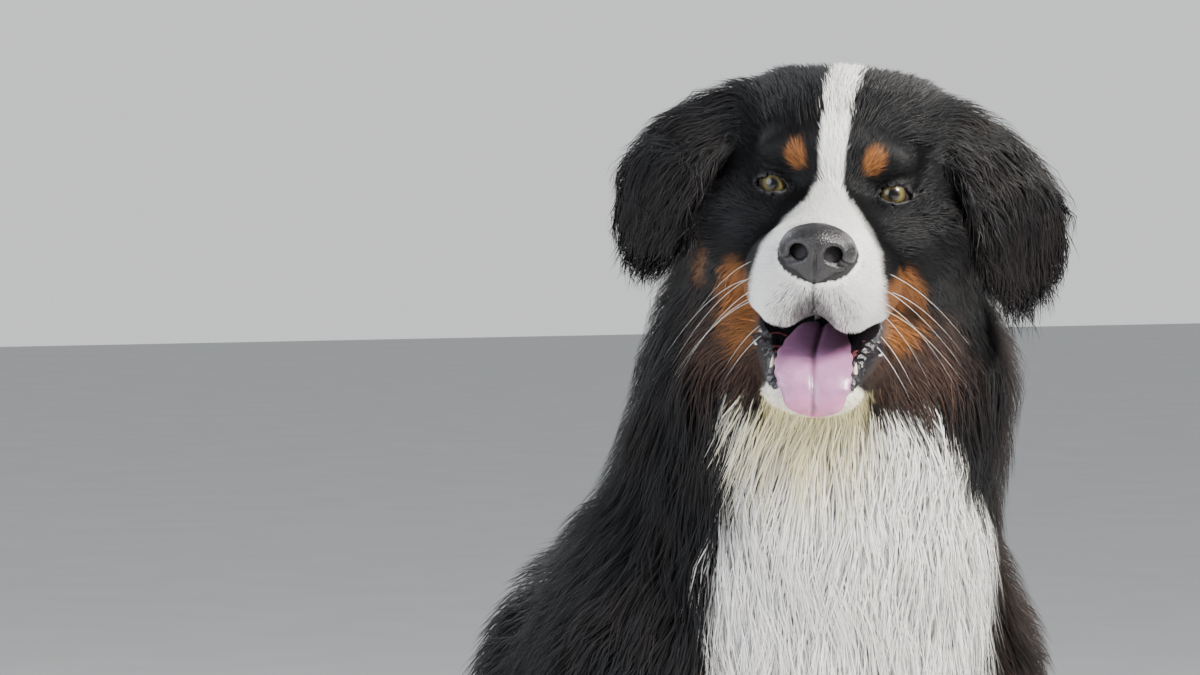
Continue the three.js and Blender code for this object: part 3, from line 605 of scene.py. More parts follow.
def markings(P, N, part, soft=1.0):
    """colour at each root, part 1 and up on the head and ears; also returns how white it is"""
    q = to_head(P)
    x, y, z = q.T
    ax = np.abs(x)
    n1 = noise(P, 22, 1)
    n2 = noise(P, 8, 2)
    wob = (n1 * 2.2 + n2 * 1.6)
    col = np.tile(BLACK, (len(P), 1))

    def paint(c, m):
        nonlocal col
        col = col * (1 - m[:, None]) + np.asarray(c) * m[:, None]

    head = part >= 0.5
    X, Y, Z = P.T
    # ---- body
    b = ~head
    lo, hi = np.interp(Z, BIB_Z, BIB_L), np.interp(Z, BIB_Z, BIB_R)
    big = noise(P, 46, 3) * 12 + noise(P, 17, 4) * 10
    bib = np.minimum(np.minimum(X - lo, hi - X) + big, 40) / 1.0
    front = ease(-Y - 60 + (Z < 420) * 10, 20)
    m_bib = ease(bib, 5 * soft) * front * (Z > 255) * (Z < 760)
    m_bib *= ease(Z - 292 + big, 14) * ease(-N[:, 1] - 0.12, 0.12)
    leg_f = (np.abs(X) > 34) & (np.abs(X) < 142) & (Y < -46 - np.clip(170 - Z, 0, 200) * 0.12) & (Y > -260) & (Z < 330)
    # rust-brown on the dog's left neck and flank, the side the rim light reaches: partly the coat's own sun-bleached
    # rust, partly painted backlight; the noisy patches on the next line are the coat's own rust
    rust_and_backlight = 0.75 * ease(X - 104 + big, 26) * ease(Z - 430, 60) * ease(-Y - 60, 50) * (1 - m_bib)
    rust_and_backlight += 0.5 * ease(noise(P, 30, 8) - 0.25, 0.3) * ease(Z - 330, 40) * ease(-Y - 60, 60) * 0.5
    paint(RUST, np.clip(rust_and_backlight * (0.5 + 0.6 * noise(P, 12, 9)), 0, 0.7) * b)
    paint(WHITE, m_bib * b)
    # forelegs: tan from below the elbow, a black streak on the outside above, white below
    tan_f = ease(232 - Z + big + 26 * (N[:, 0] * np.sign(X) < 0.1) + 16 * (N[:, 1] < -0.4), 9) * leg_f
    paint(TAN, tan_f * b)
    white_f = ease(92 - Z + big * 0.8 - 16 * np.clip(N[:, 1], 0, 1) + 22 * np.clip(-N[:, 1], 0, 1), 6) * (Y < -60) * (np.abs(X) < 152)
    paint(WHITE, white_f * b)
    # hind legs: tan shank, white toes
    hind = (np.abs(X) > 84) & (Y > -80) & (Y < 265) & (Z < 150)
    tan_h = ease(84 - Z + big * 0.8 - 0.10 * (Y - 60), 9) * hind
    paint(TAN, tan_h * b)
    white_h = ease(18 - Y + big * 0.9, 8) * ease(66 - Z, 10) * (Y > -110) * (np.abs(X) > 96)
    paint(WHITE, white_h * b)
    # tail: a white tip
    paint(WHITE, ease(X - 172 + big, 12) * (Y > 380) * b)
    # ---- head
    hw = np.interp(z, [-110, -72, -55, -37, -23, -9, 4, 12, 40, 80, 100], [49, 46, 44, 39, 29, 16, 8.4, 7.4, 9.6, 10.6, 9.0])
    cx = np.interp(z, [-30, 0, 80], [0, -1.0, -2.0])
    blaze = hw - np.abs(x - cx) + wob * 0.5
    blaze = np.minimum(blaze, 150 - y)
    white_h = ease(blaze, 1.3 * soft) * ease(108 - y + wob * 3, 10)
    muzz = np.minimum(-24 - y + wob * 1.1, hw - ax + wob * 0.4)
    muzz = np.minimum(muzz, -8 - z)
    chin = np.interp(z, [-160, -146, -134, -124, -112], [46, 42, 33, 20, 8])
    muzz = np.where(z < -112, np.minimum(-22 - y, chin - np.abs(x - 2)) + wob, muzz)
    white_m = ease(muzz, 2.2 * soft)
    # tan cheeks beside the lips, brown below them
    rt = x < 0
    cc, cr, cz, ch = np.where(rt, 60, 57), np.where(rt, 17, 16), np.where(rt, -86, -82), np.where(rt, 36, 30)
    cheek = (1 - np.sqrt(((ax - cc) / cr) ** 2 + ((z - cz) / ch) ** 2)) * 14 + wob * 1.3
    cheek = np.minimum(cheek, 58 - y)
    brown = (1 - np.sqrt(((ax - 66) / 34) ** 2 + ((z + 122) / 34) ** 2)) * 20 + wob * 2.4
    paint(RUST * 1.3, ease(np.minimum(brown, 66 - y), 6) * 0.85 * (1 - m_bib * b))
    streak = np.minimum(6 - np.abs(x + 92), 13 - np.abs(z + 62)) + wob
    paint(TAN, np.maximum(ease(cheek, 2.6 * soft), 0.6 * ease(streak, 2.0)) * head)
    # a dark spot where the lips meet
    spot = 1 - np.sqrt(((ax - 60) / 7) ** 2 + ((z + 84) / 9) ** 2)
    paint(BLACK, ease(spot * 8, 2.5) * 0.8 * head * (x > 0))
    # painted reflection: yellow bounce light on the pale underside of the throat
    throat = np.minimum(-112 - z, 34 - ax) + wob
    paint(BOUNCE_YELLOW, ease(throat, 5) * ease(y + 30, 8) * head)
    paint(WHITE, np.maximum(white_h * (z > -60), white_m) * head)
    # painted reflection: a yellow glow of bounce light where the throat meets the bib
    bounce_glow = np.clip(1.3 - 1.3 * np.linalg.norm((P - from_head([-4, -22, -166])) / [70, 90, 60], axis=1), 0, 1)
    paint(BOUNCE_YELLOW, np.clip(bounce_glow * 1.15, 0, 0.85) * (col[:, 1] > 0.3))
    # brow spots
    for s in (1, -1):
        r = np.sqrt(((x - s * 27.5 - (s < 0) * 0.8) / 7.6) ** 2 + ((z - 22.0 - 0.16 * (x * s - 27)) / 9.4) ** 2)
        paint(TAN, ease((1 - r) * 8 + n2 * 1.4, 1.6) * head * (y < 40))
    # grey stubble at the lip's middle
    st = np.clip(1 - np.sqrt((x / 17) ** 2 + ((z + 82) / 20) ** 2), 0, 1) * (y < -70)
    paint(GREY * 0.8, np.clip(st * 2.3 + n2 * 0.3 * (st > 0), 0, 0.78) * head)
    # the dark line from the nose down to the lip
    paint(BLACK, ease(1.5 - np.abs(x), 0.9) * 0.5 * (z < -64) * (z > -104) * (y < -78) * head)
    # dark lids and tear marks
    for s in (1, -1):
        u = eye_local(q, s)
        r = np.sqrt((u[:, 0] / 15.5) ** 2 + (u[:, 2] / 10.5) ** 2)
        paint(BLACK, ease((1 - r) * 10, 2) * head * (u[:, 1] < 4))
    # ear: black, a little brown in patches on its hair
    paint(RUST * 0.6, (part > 1.5) * 0.25 * ease(noise(P, 14, 6), 0.6))
    white = np.clip(col[:, 1] / 0.7, 0, 1)
    return col, white


def lower_lip(P):
    """the black flaps either side of the tongue, below the gape"""
    q = to_head(P)
    g = gape_at(q)
    ax = np.abs(q[:, 0])
    wide = np.interp(ax, [8, 14, 24, 60], [0.0, 4.0, 11.5, 9.0]) * np.interp(q[:, 1], [-20, 26], [1.0, 0.35])
    return (g < wide) & (q[:, 2] < -92 - 0.35 * (q[:, 1] + 56)) & (q[:, 1] < 34)



# ------------------------------------------------------------------ materials
def material(name):
    m = bpy.data.materials.new(name)
    m.use_nodes = True
    nt = m.node_tree
    nt.nodes.clear()
    out = nt.nodes.new("ShaderNodeOutputMaterial")
    bs = nt.nodes.new("ShaderNodeBsdfPrincipled")
    nt.links.new(bs.outputs["BSDF"], out.inputs["Surface"])
    return m, nt, bs


def node(nt, kind, **kw):
    n = nt.nodes.new(kind)
    for k, v in kw.items():
        if k in n.inputs:
            n.inputs[k].default_value = v
        else:
            setattr(n, k, v)
    return n


def ramp(nt, src, stops):
    r = nt.nodes.new("ShaderNodeValToRGB")
    els = r.color_ramp.elements
    while len(els) < len(stops):
        els.new(0.5)
    for e, (p, c) in zip(els, stops):
        e.position = p
        e.color = (*c, 1) if len(c) == 3 else c
    nt.links.new(src, r.inputs["Fac"])
    return r


def mix_colour(nt, kind, fac, a, b):
    n = nt.nodes.new("ShaderNodeMix")
    n.data_type = "RGBA"
    n.blend_type = kind
    for sock, v in ((n.inputs[0], fac), (n.inputs[6], a), (n.inputs[7], b)):
        if hasattr(v, "is_output"):
            nt.links.new(v, sock)
        else:
            sock.default_value = v if isinstance(v, float) else (*v, 1)
    return n.outputs[2]


def hair_material(name, rough, streak, spec=0.35, sheen=0.0):
    """strands run along the tuft: their own noise is stretched by the across and along numbers each tuft carries"""
    m, nt, bs = material(name)
    col = node(nt, "ShaderNodeAttribute", attribute_name="fur")
    u = node(nt, "ShaderNodeAttribute", attribute_name="across")
    v = node(nt, "ShaderNodeAttribute", attribute_name="along")
    r = node(nt, "ShaderNodeAttribute", attribute_name="own")
    comb = nt.nodes.new("ShaderNodeCombineXYZ")
    su = node(nt, "ShaderNodeMath", operation="MULTIPLY")
    su.inputs[1].default_value = streak
    sv = node(nt, "ShaderNodeMath", operation="MULTIPLY")
    sv.inputs[1].default_value = 0.8
    sr = node(nt, "ShaderNodeMath", operation="MULTIPLY")
    sr.inputs[1].default_value = 53.0
    for a, b in ((u, su), (v, sv), (r, sr)):
        nt.links.new(a.outputs["Fac"], b.inputs[0])
    for a, i in ((su, "X"), (sv, "Y"), (sr, "Z")):
        nt.links.new(a.outputs[0], comb.inputs[i])
    nz = node(nt, "ShaderNodeTexNoise", Scale=1.0, Detail=3.0, Roughness=0.6)
    nt.links.new(comb.outputs[0], nz.inputs["Vector"])
    shade = ramp(nt, nz.outputs["Fac"], [(0.25, (0.74, 0.74, 0.74)), (0.5, (1, 1, 1)), (0.78, (1.22, 1.22, 1.22))])
    c1 = mix_colour(nt, "MULTIPLY", 1.0, col.outputs["Color"], shade.outputs["Color"])
    # painted shade: colour darker at the root than at the tip, standing in for the shade deep within the coat
    dep = ramp(nt, v.outputs["Fac"], [(0.0, (0.68, 0.68, 0.68)), (0.4, (0.96, 0.96, 0.96)), (1.0, (1.08, 1.08, 1.08))])
    c2 = mix_colour(nt, "MULTIPLY", 1.0, c1, dep.outputs["Color"])
    nt.links.new(c2, bs.inputs["Base Color"])
    bump = node(nt, "ShaderNodeBump", Strength=0.55, Distance=0.0006)
    nt.links.new(nz.outputs["Fac"], bump.inputs["Height"])
    nt.links.new(bump.outputs["Normal"], bs.inputs["Normal"])
    bs.inputs["Roughness"].default_value = rough
    bs.inputs["Specular IOR Level"].default_value = spec
    if sheen:
        bs.inputs["Sheen Weight"].default_value = sheen
        bs.inputs["Sheen Roughness"].default_value = 0.4
        bs.inputs["Sheen Tint"].default_value = (0.75, 0.82, 1.0, 1)
    return m


def skin_material():
    m, nt, bs = material("skin")
    col = node(nt, "ShaderNodeAttribute", attribute_name="fur")
    wet = node(nt, "ShaderNodeAttribute", attribute_name="wet")
    tc = nt.nodes.new("ShaderNodeTexCoord")
    nz = node(nt, "ShaderNodeTexNoise", Scale=900.0, Detail=4.0, Roughness=0.65)
    nt.links.new(tc.outputs["Object"], nz.inputs["Vector"])
    shade = ramp(nt, nz.outputs["Fac"], [(0.3, (0.62, 0.62, 0.62)), (0.7, (1.25, 1.25, 1.25))])
    c = mix_colour(nt, "MULTIPLY", 1.0, col.outputs["Color"], shade.outputs["Color"])
    nt.links.new(c, bs.inputs["Base Color"])
    rr = ramp(nt, wet.outputs["Fac"], [(0.0, (0.72, 0.72, 0.72)), (1.0, (0.16, 0.16, 0.16))])
    nt.links.new(rr.outputs["Color"], bs.inputs["Roughness"])
    bump = node(nt, "ShaderNodeBump", Strength=0.5, Distance=0.0006)
    nt.links.new(nz.outputs["Fac"], bump.inputs["Height"])
    nt.links.new(bump.outputs["Normal"], bs.inputs["Normal"])
    bs.inputs["Specular IOR Level"].default_value = 0.4
    return m


def nose_material():
    m, nt, bs = material("nose_leather")
    tc = nt.nodes.new("ShaderNodeTexCoord")
    vo = node(nt, "ShaderNodeTexVoronoi", Scale=480.0, feature="DISTANCE_TO_EDGE")
    nt.links.new(tc.outputs["Object"], vo.inputs["Vector"])
    nz = node(nt, "ShaderNodeTexNoise", Scale=160.0, Detail=4.0)
    nt.links.new(tc.outputs["Object"], nz.inputs["Vector"])
    base = ramp(nt, nz.outputs["Fac"], [(0.3, (0.007, 0.006, 0.007)), (0.7, (0.022, 0.018, 0.020))])
    # painted shade: darker in the crevices between the nose leather's cobbles
    crevice_shade = ramp(nt, vo.outputs["Distance"], [(0.0, (0.35, 0.35, 0.35)), (0.18, (1, 1, 1))])
    c = mix_colour(nt, "MULTIPLY", 1.0, base.outputs["Color"], crevice_shade.outputs["Color"])
    nt.links.new(c, bs.inputs["Base Color"])
    bump = node(nt, "ShaderNodeBump", Strength=0.38, Distance=0.0005)
    bumpr = ramp(nt, vo.outputs["Distance"], [(0.0, (0, 0, 0)), (0.3, (1, 1, 1))])
    nt.links.new(bumpr.outputs["Color"], bump.inputs["Height"])
    nt.links.new(bump.outputs["Normal"], bs.inputs["Normal"])
    bs.inputs["Roughness"].default_value = 0.42
    bs.inputs["Coat Weight"].default_value = 0.1
    bs.inputs["Coat Roughness"].default_value = 0.35
    return m


def tongue_material():
    m, nt, bs = material("tongue")
    tc = nt.nodes.new("ShaderNodeTexCoord")
    col = node(nt, "ShaderNodeAttribute", attribute_name="fur")
    vo = node(nt, "ShaderNodeTexVoronoi", Scale=900.0)
    nt.links.new(tc.outputs["Object"], vo.inputs["Vector"])
    nz = node(nt, "ShaderNodeTexNoise", Scale=120.0, Detail=5.0)
    nt.links.new(tc.outputs["Object"], nz.inputs["Vector"])
    v = ramp(nt, nz.outputs["Fac"], [(0.3, (0.86, 0.82, 0.84)), (0.7, (1.1, 1.08, 1.1))])
    c = mix_colour(nt, "MULTIPLY", 1.0, col.outputs["Color"], v.outputs["Color"])
    nt.links.new(c, bs.inputs["Base Color"])
    bump = node(nt, "ShaderNodeBump", Strength=0.35, Distance=0.0005)
    nt.links.new(vo.outputs["Distance"], bump.inputs["Height"])
    nt.links.new(bump.outputs["Normal"], bs.inputs["Normal"])
    bs.inputs["Roughness"].default_value = 0.34
    bs.inputs["Coat Weight"].default_value = 0.4
    bs.inputs["Coat Roughness"].default_value = 0.18
    bs.inputs["Subsurface Weight"].default_value = 0.25
    bs.inputs["Subsurface Radius"].default_value = (0.006, 0.002, 0.0015)
    bs.inputs["Subsurface Scale"].default_value = 1.0
    return m


def eye_material():
    m, nt, bs = material("eye")
    rad = node(nt, "ShaderNodeAttribute", attribute_name="ring")
    tc = nt.nodes.new("ShaderNodeTexCoord")
    nz = node(nt, "ShaderNodeTexNoise", Scale=900.0, Detail=4.0)
    nt.links.new(tc.outputs["Object"], nz.inputs["Vector"])
    ad = node(nt, "ShaderNodeMath", operation="MULTIPLY_ADD")
    nt.links.new(nz.outputs["Fac"], ad.inputs[0])
    ad.inputs[1].default_value = 0.05
    nt.links.new(rad.outputs["Fac"], ad.inputs[2])
    # ring is the angle from the eye's axis: 0 at the pupil's middle, 1 at 90 degrees
    c = ramp(nt, ad.outputs[0], [(0.0, (0.001, 0.001, 0.001)), (0.195, (0.001, 0.001, 0.001)), (0.225, (0.030, 0.022, 0.008)),
                                 (0.33, (0.115, 0.093, 0.030)), (0.47, (0.060, 0.045, 0.016)), (0.545, (0.006, 0.005, 0.004)), (0.62, (0.035, 0.026, 0.022)), (1.0, (0.10, 0.07, 0.06))])
    c.color_ramp.interpolation = "EASE"
    nt.links.new(c.outputs["Color"], bs.inputs["Base Color"])
    bs.inputs["Roughness"].default_value = 0.4
    bs.inputs["Specular IOR Level"].default_value = 0.15
    bs.inputs["Coat Weight"].default_value = 1.0
    bs.inputs["Coat Roughness"].default_value = 0.015
    bs.inputs["Coat IOR"].default_value = 1.38
    return m


def horn_material():
    m, nt, bs = material("claw")
    tc = nt.nodes.new("ShaderNodeTexCoord")
    nz = node(nt, "ShaderNodeTexNoise", Scale=260.0, Detail=4.0)
    nt.links.new(tc.outputs["Object"], nz.inputs["Vector"])
    c = ramp(nt, nz.outputs["Fac"], [(0.3, (0.020, 0.016, 0.014)), (0.6, (0.07, 0.055, 0.045)), (0.8, (0.2, 0.165, 0.13))])
    nt.links.new(c.outputs["Color"], bs.inputs["Base Color"])
    bump = node(nt, "ShaderNodeBump", Strength=0.3, Distance=0.0004)
    nt.links.new(nz.outputs["Fac"], bump.inputs["Height"])
    nt.links.new(bump.outputs["Normal"], bs.inputs["Normal"])
    bs.inputs["Roughness"].default_value = 0.38
    return m


def tooth_material():
    m, nt, bs = material("tooth")
    tc = nt.nodes.new("ShaderNodeTexCoord")
    nz = node(nt, "ShaderNodeTexNoise", Scale=300.0, Detail=3.0)
    nt.links.new(tc.outputs["Object"], nz.inputs["Vector"])
    c = ramp(nt, nz.outputs["Fac"], [(0.3, (0.50, 0.42, 0.28)), (0.7, (0.72, 0.66, 0.52))])
    nt.links.new(c.outputs["Color"], bs.inputs["Base Color"])
    bs.inputs["Roughness"].default_value = 0.2
    bs.inputs["Coat Weight"].default_value = 0.5
    bs.inputs["Coat Roughness"].default_value = 0.08
    return m


M_SKIN = skin_material()
M_LONG = hair_material("coat_long", 0.47, 5.0, 0.24)
M_SHORT = hair_material("coat_short", 0.52, 2.0, 0.19)
M_NOSE, M_TONGUE, M_EYE, M_CLAW, M_TOOTH = nose_material(), tongue_material(), eye_material(), horn_material(), tooth_material()

# ------------------------------------------------------------------ the skin, in one piece
V, Q = skin_mesh(3.7)
F = tris_of(Q)


def face_zone(V, F):
    q = to_head(V[F].mean(1))
    return (np.abs(q[:, 0]) < 78) & (q[:, 1] < 30) & (q[:, 2] > -160) & (q[:, 2] < 50)


def fine_zone(V, F):
    q = to_head(V[F].mean(1))
    m = np.zeros(len(F), bool)
    for s in (1, -1):
        u = eye_local(q, s)
        m |= (np.sqrt((u[:, 0] / 21) ** 2 + (u[:, 2] / 16) ** 2) < 1) & (u[:, 1] < 6)
    g = gape_at(q)
    m |= (np.abs(g) < 5) & (q[:, 1] < 5)
    m |= (g < 11) & (q[:, 2] < -96) & (q[:, 1] < 20) & (np.abs(q[:, 0]) > 12)
    m |= (np.abs(q[:, 0]) < 8) & (q[:, 1] < -85) & (q[:, 2] < -40)
    return m


V, F = refine(V, F, face_zone(V, F))
V = settle(V, 1)
V, F = refine(V, F, fine_zone(V, F))
V = settle(V, 2, h=0.35, limit=1.5)
V[:, 2] = np.maximum(V[:, 2], 0.6)
lips = lower_lip(V)
lips &= np.abs(to_head(V)[:, 0]) > 14
V[lips] += (vertex_normals(V, F) * (noise(V, 3.4, 31) * 0.9)[:, None])[lips]
area = np.linalg.norm(np.cross(V[F[:, 1]] - V[F[:, 0]], V[F[:, 2]] - V[F[:, 0]]), axis=1)
N = vertex_normals(V, F)
print("skin", len(V), len(F), "flat", int((area < 1e-6).sum()))
_, A = field(V, weights=True)
head_part = np.where(A[:, 7] > 0.5, 1.0, 0.0)
colour, white = markings(V, N, head_part)
q = to_head(V)
gp = gape_at(q)
inside = (gp < 1.2) & (A[:, 7] > 0.3) & (q[:, 1] < 40)
lip = ease(2.4 - np.abs(gp - 1.2), 1.2) * (q[:, 1] < 25) * (A[:, 7] > 0.3)
skin_col = colour * (0.5 + 0.4 * white)[:, None]
deep = ease(-gp - 0.6, 0.8) * 1.0
# the mouth's inside: gum colour mixed with painted shade
mouth_col = GUM * 0.55 + MOUTH_SHADE * 0.45
skin_col = np.where(((gp < 0.6) & (A[:, 7] > 0.3) & (q[:, 1] < 60))[:, None], mouth_col, skin_col)
# painted shade: darker still further back in the mouth
mouth_depth_shade = ease(q[:, 1] + 10, 22)[:, None]
skin_col = np.where((gp < 0.6)[:, None] & (A[:, 7] > 0.3)[:, None], skin_col * (1 - mouth_depth_shade) + MOUTH_SHADE * 0.5 * mouth_depth_shade, skin_col)
low_lip = (np.abs(gp - 0.6) < 2.6) & (A[:, 7] > 0.3) & (q[:, 1] < 30)
skin_col = np.where(low_lip[:, None], LIP, skin_col)
flap = lower_lip(V) & (A[:, 7] > 0.3)
skin_col[flap] = LIP * (0.7 + 0.6 * ease(noise(V[flap], 4, 21), 0.4))[:, None]
skin_col[egg_at(q, [0, -99, -38], [28, 25, 22]) < 0] = LIP * 0.6
gums = (gp < -0.5) & (A[:, 7] > 0.3) & (q[:, 1] < -10) & (np.abs(q[:, 0]) > 16) & (q[:, 2] < -100)
skin_col[gums] = GUM * 0.8
wet = np.where((gp < 2.5) | flap, 1.0, 0.0) * (A[:, 7] > 0.3)
for s in (1, -1):
    u = eye_local(q, s)
    r = np.sqrt((u * u).sum(1))
    rim = (r < 17) & (u[:, 1] < 3) & (np.maximum(lid_gap(u, s), 0) < 2.2)
    skin_col[rim] = LIP * 0.8
    wet[rim] = 0.3
HIDE = ["head", "jaw", "neck", "trunk", "tail", "ear_left", "ear_right", "foreleg_left", "foreleg_right", "hindleg_left", "hindleg_right"]
make("skin", V, F, M_SKIN, colours=skin_col, floats={"wet": wet}, nodes=HIDE)

# ------------------------------------------------------------------ the coat
tri_area = np.linalg.norm(np.cross(V[F[:, 1]] - V[F[:, 0]], V[F[:, 2]] - V[F[:, 0]]), axis=1) / 2
TC = V[F].mean(1)
TN = N[F].mean(1)
TN /= np.maximum(np.linalg.norm(TN, axis=1), 1e-9)[:, None]
TA = A[F].mean(1)
TQ = to_head(TC)
T_head = TA[:, 7] > 0.5


def bare(P, N, part):
    """where no hair grows: in the mouth, on the lips, lids, nose and under the soles"""
    q = to_head(P)
    g = gape_at(q)
    b = (g < 3.0) & (part > 0.3) & (q[:, 1] < 40)
    b |= lower_lip(P) & (part > 0.3)
    for s in (1, -1):
        u = eye_local(q, s)
        r = np.sqrt((u * u).sum(1))
        b |= (r < 18) & (u[:, 1] < 3) & (lid_gap(u, s) < 2.9)
    b |= egg_at(q, [0, -101, -38], [28, 24, 21.5]) < 0
    b |= (np.abs(q[:, 0]) < 2.2) & (q[:, 1] < -85) & (q[:, 2] < -52)
    b |= (P[:, 2] < 3.0) & (N[:, 2] < -0.5)
    return b


T_bare = bare(TC, TN, TA[:, 7])
short = TA[:, 1] < 21  # by the hair's own length
ear_t = T_head & (np.array([np.linalg.norm(TQ - [s * 112, 40, 8], axis=1) for s in (1, -1)]).min(0) < 78) & (np.abs(TQ[:, 0]) > 70) & (TA[:, 1] > 24)
front_t = (~T_head) & (TC[:, 1] < -20) & (TC[:, 2] > 300)
rear_t = (~T_head) & ~front_t & ~short


def roots(mask, density, count):
    """count places on the skin's marked triangles, more where density is high"""
    w = tri_area * mask * ~T_bare * density
    cum = np.cumsum(w)
    t = (np.arange(count) + RNG.random(count)) / count * cum[-1]
    RNG.shuffle(t)
    i = np.minimum(np.searchsorted(cum, t), len(F) - 1)
    a, b = RNG.random(count), RNG.random(count)
    f = a + b > 1
    a[f], b[f] = 1 - a[f], 1 - b[f]
    v = V[F[i]]
    return v[:, 0] + a[:, None] * (v[:, 1] - v[:, 0]) + b[:, None] * (v[:, 2] - v[:, 0])


def normalise(v):
    return v / np.maximum(np.linalg.norm(v, axis=1), 1e-9)[:, None]


def lie_of(P, G, A):
    """the way the hair points at P: the shapes' own lie, with the head's whorls, turned into the surface"""
    d = A[:, 4:7].copy()
    q = to_head(P)
    hd = A[:, 7]
    x, y, z = q.T
    # on the head: back from the nose, parting at the brow, out round the eyes, back and down the cheeks
    sig = lambda v: 1 / (1 + np.exp(-np.clip(v, -30, 30)))
    over, under = sig((z + 4) / 9), sig((-88 - z) / 8)
    bridge = np.exp(-(x / 30) ** 2) * sig((6 - y) / 14) * sig((z + 40) / 8)
    f = np.stack([np.sign(x) * np.clip(np.abs(x) / 40, 0, 1) * (0.32 + 0.25 * over), 1 - 0.25 * under,
                  -0.32 + 0.66 * over + 0.62 * bridge - 0.35 * under], 1)
    for s in (1, -1):
        u = eye_local(q, s)
        rr = np.sqrt(u[:, 0] ** 2 + u[:, 2] ** 2)
        w = (np.exp(-(rr / 17) ** 2) * (u[:, 1] < 10))[:, None]
        rows = lid_rows(s)
        out = (u[:, :1] * rows[0] + u[:, 2:] * rows[2]) / np.maximum(rr, 1)[:, None] + np.array([0, 0.5, 0])
        f = f * (1 - w) + out * w
    fh = f @ HEAD
    w = ((hd > 0.5) & (A[:, 1] < 26)).astype(float)[:, None]
    d = normalise(d) * (1 - w) + normalise(fh) * w
    n = normalise(G)
    d = d - (d * n).sum(1)[:, None] * n
    return normalise(d), n


def grow(P, A, scale=1.0, steps=3, lift=1.0, jitter=0.22, clump=0.0, clump_r=9.0, droop=0.0, wave=0.0):
    """each hair's middle line as steps + 1 points that keep to the coat's depth above the skin"""
    n = len(P)
    G = gradient(P, 1.0)
    d, nn = lie_of(P, G, A)
    side = np.cross(nn, d)
    swirl = (noise(P, 34, 11) * 0.30 + noise(P, 11, 12) * 0.22)[:, None]
    own = RNG.normal(0, jitter, (n, 1))
    d = normalise(d + side * (swirl + own))
    L = A[:, 1] * scale * (0.72 + 0.5 * RNG.random(n)) * (1 + 0.15 * noise(P, 25, 13))
    top = A[:, 0] * lift * (0.55 + 0.6 * RNG.random(n))
    pts = [P - nn * 0.8]
    p = P.copy()
    for i in range(1, steps + 1):
        s = i / steps
        p = p + d * (L / steps)[:, None]
        want = top * (1 - (1 - s) ** 1.8)
        g = gradient(p, 1.5)
        gl = np.maximum(np.linalg.norm(g, axis=1), 0.3)
        h = field(p)
        m = g / gl[:, None]
        p = p + m * ((want - h / gl) * 0.9)[:, None]
        d2 = d - (d * m).sum(1)[:, None] * m
        d = normalise(normalise(d2) * 0.86 + d * 0.10 + np.array([0, 0, -1.0]) * droop)
        pts.append(p.copy())
    C = np.stack(pts, 1)  # n, steps+1, 3
    if clump > 0:
        k = max(8, int(n / clump_r))
        seeds = RNG.choice(n, k, replace=False)
        kd = kdtree.KDTree(k)
        for j, si in enumerate(seeds):
            kd.insert(P[si], j)
        kd.balance()
        near = np.array([kd.find(x)[1] for x in P])
        lead = seeds[near]
        ok = np.linalg.norm(P[lead] - P, axis=1) < 26
        t = (np.arange(steps + 1) / steps)[None, :, None] ** 1.3
        c = clump * (0.55 + 0.6 * RNG.random((n, 1, 1))) * ok[:, None, None]
        C = C + (C[lead] - C) * t * np.clip(c, 0, 0.92)
        if wave:
            ph = RNG.random(k)[near] * 6.28
            turn = (0.75 + 0.5 * RNG.random(k))[near]
            tt = (np.arange(steps + 1) / steps)[None]
            amp = wave * (np.sin(tt * 4.2 * turn[:, None] + ph[:, None]) - np.sin(ph)[:, None]) * tt ** 0.7
            C = C + side[:, None] * amp[:, :, None]
    C[:, :, 2] = np.maximum(C[:, :, 2], 0.7 + RNG.random((n, 1)) * 1.2)
    return C, nn, L


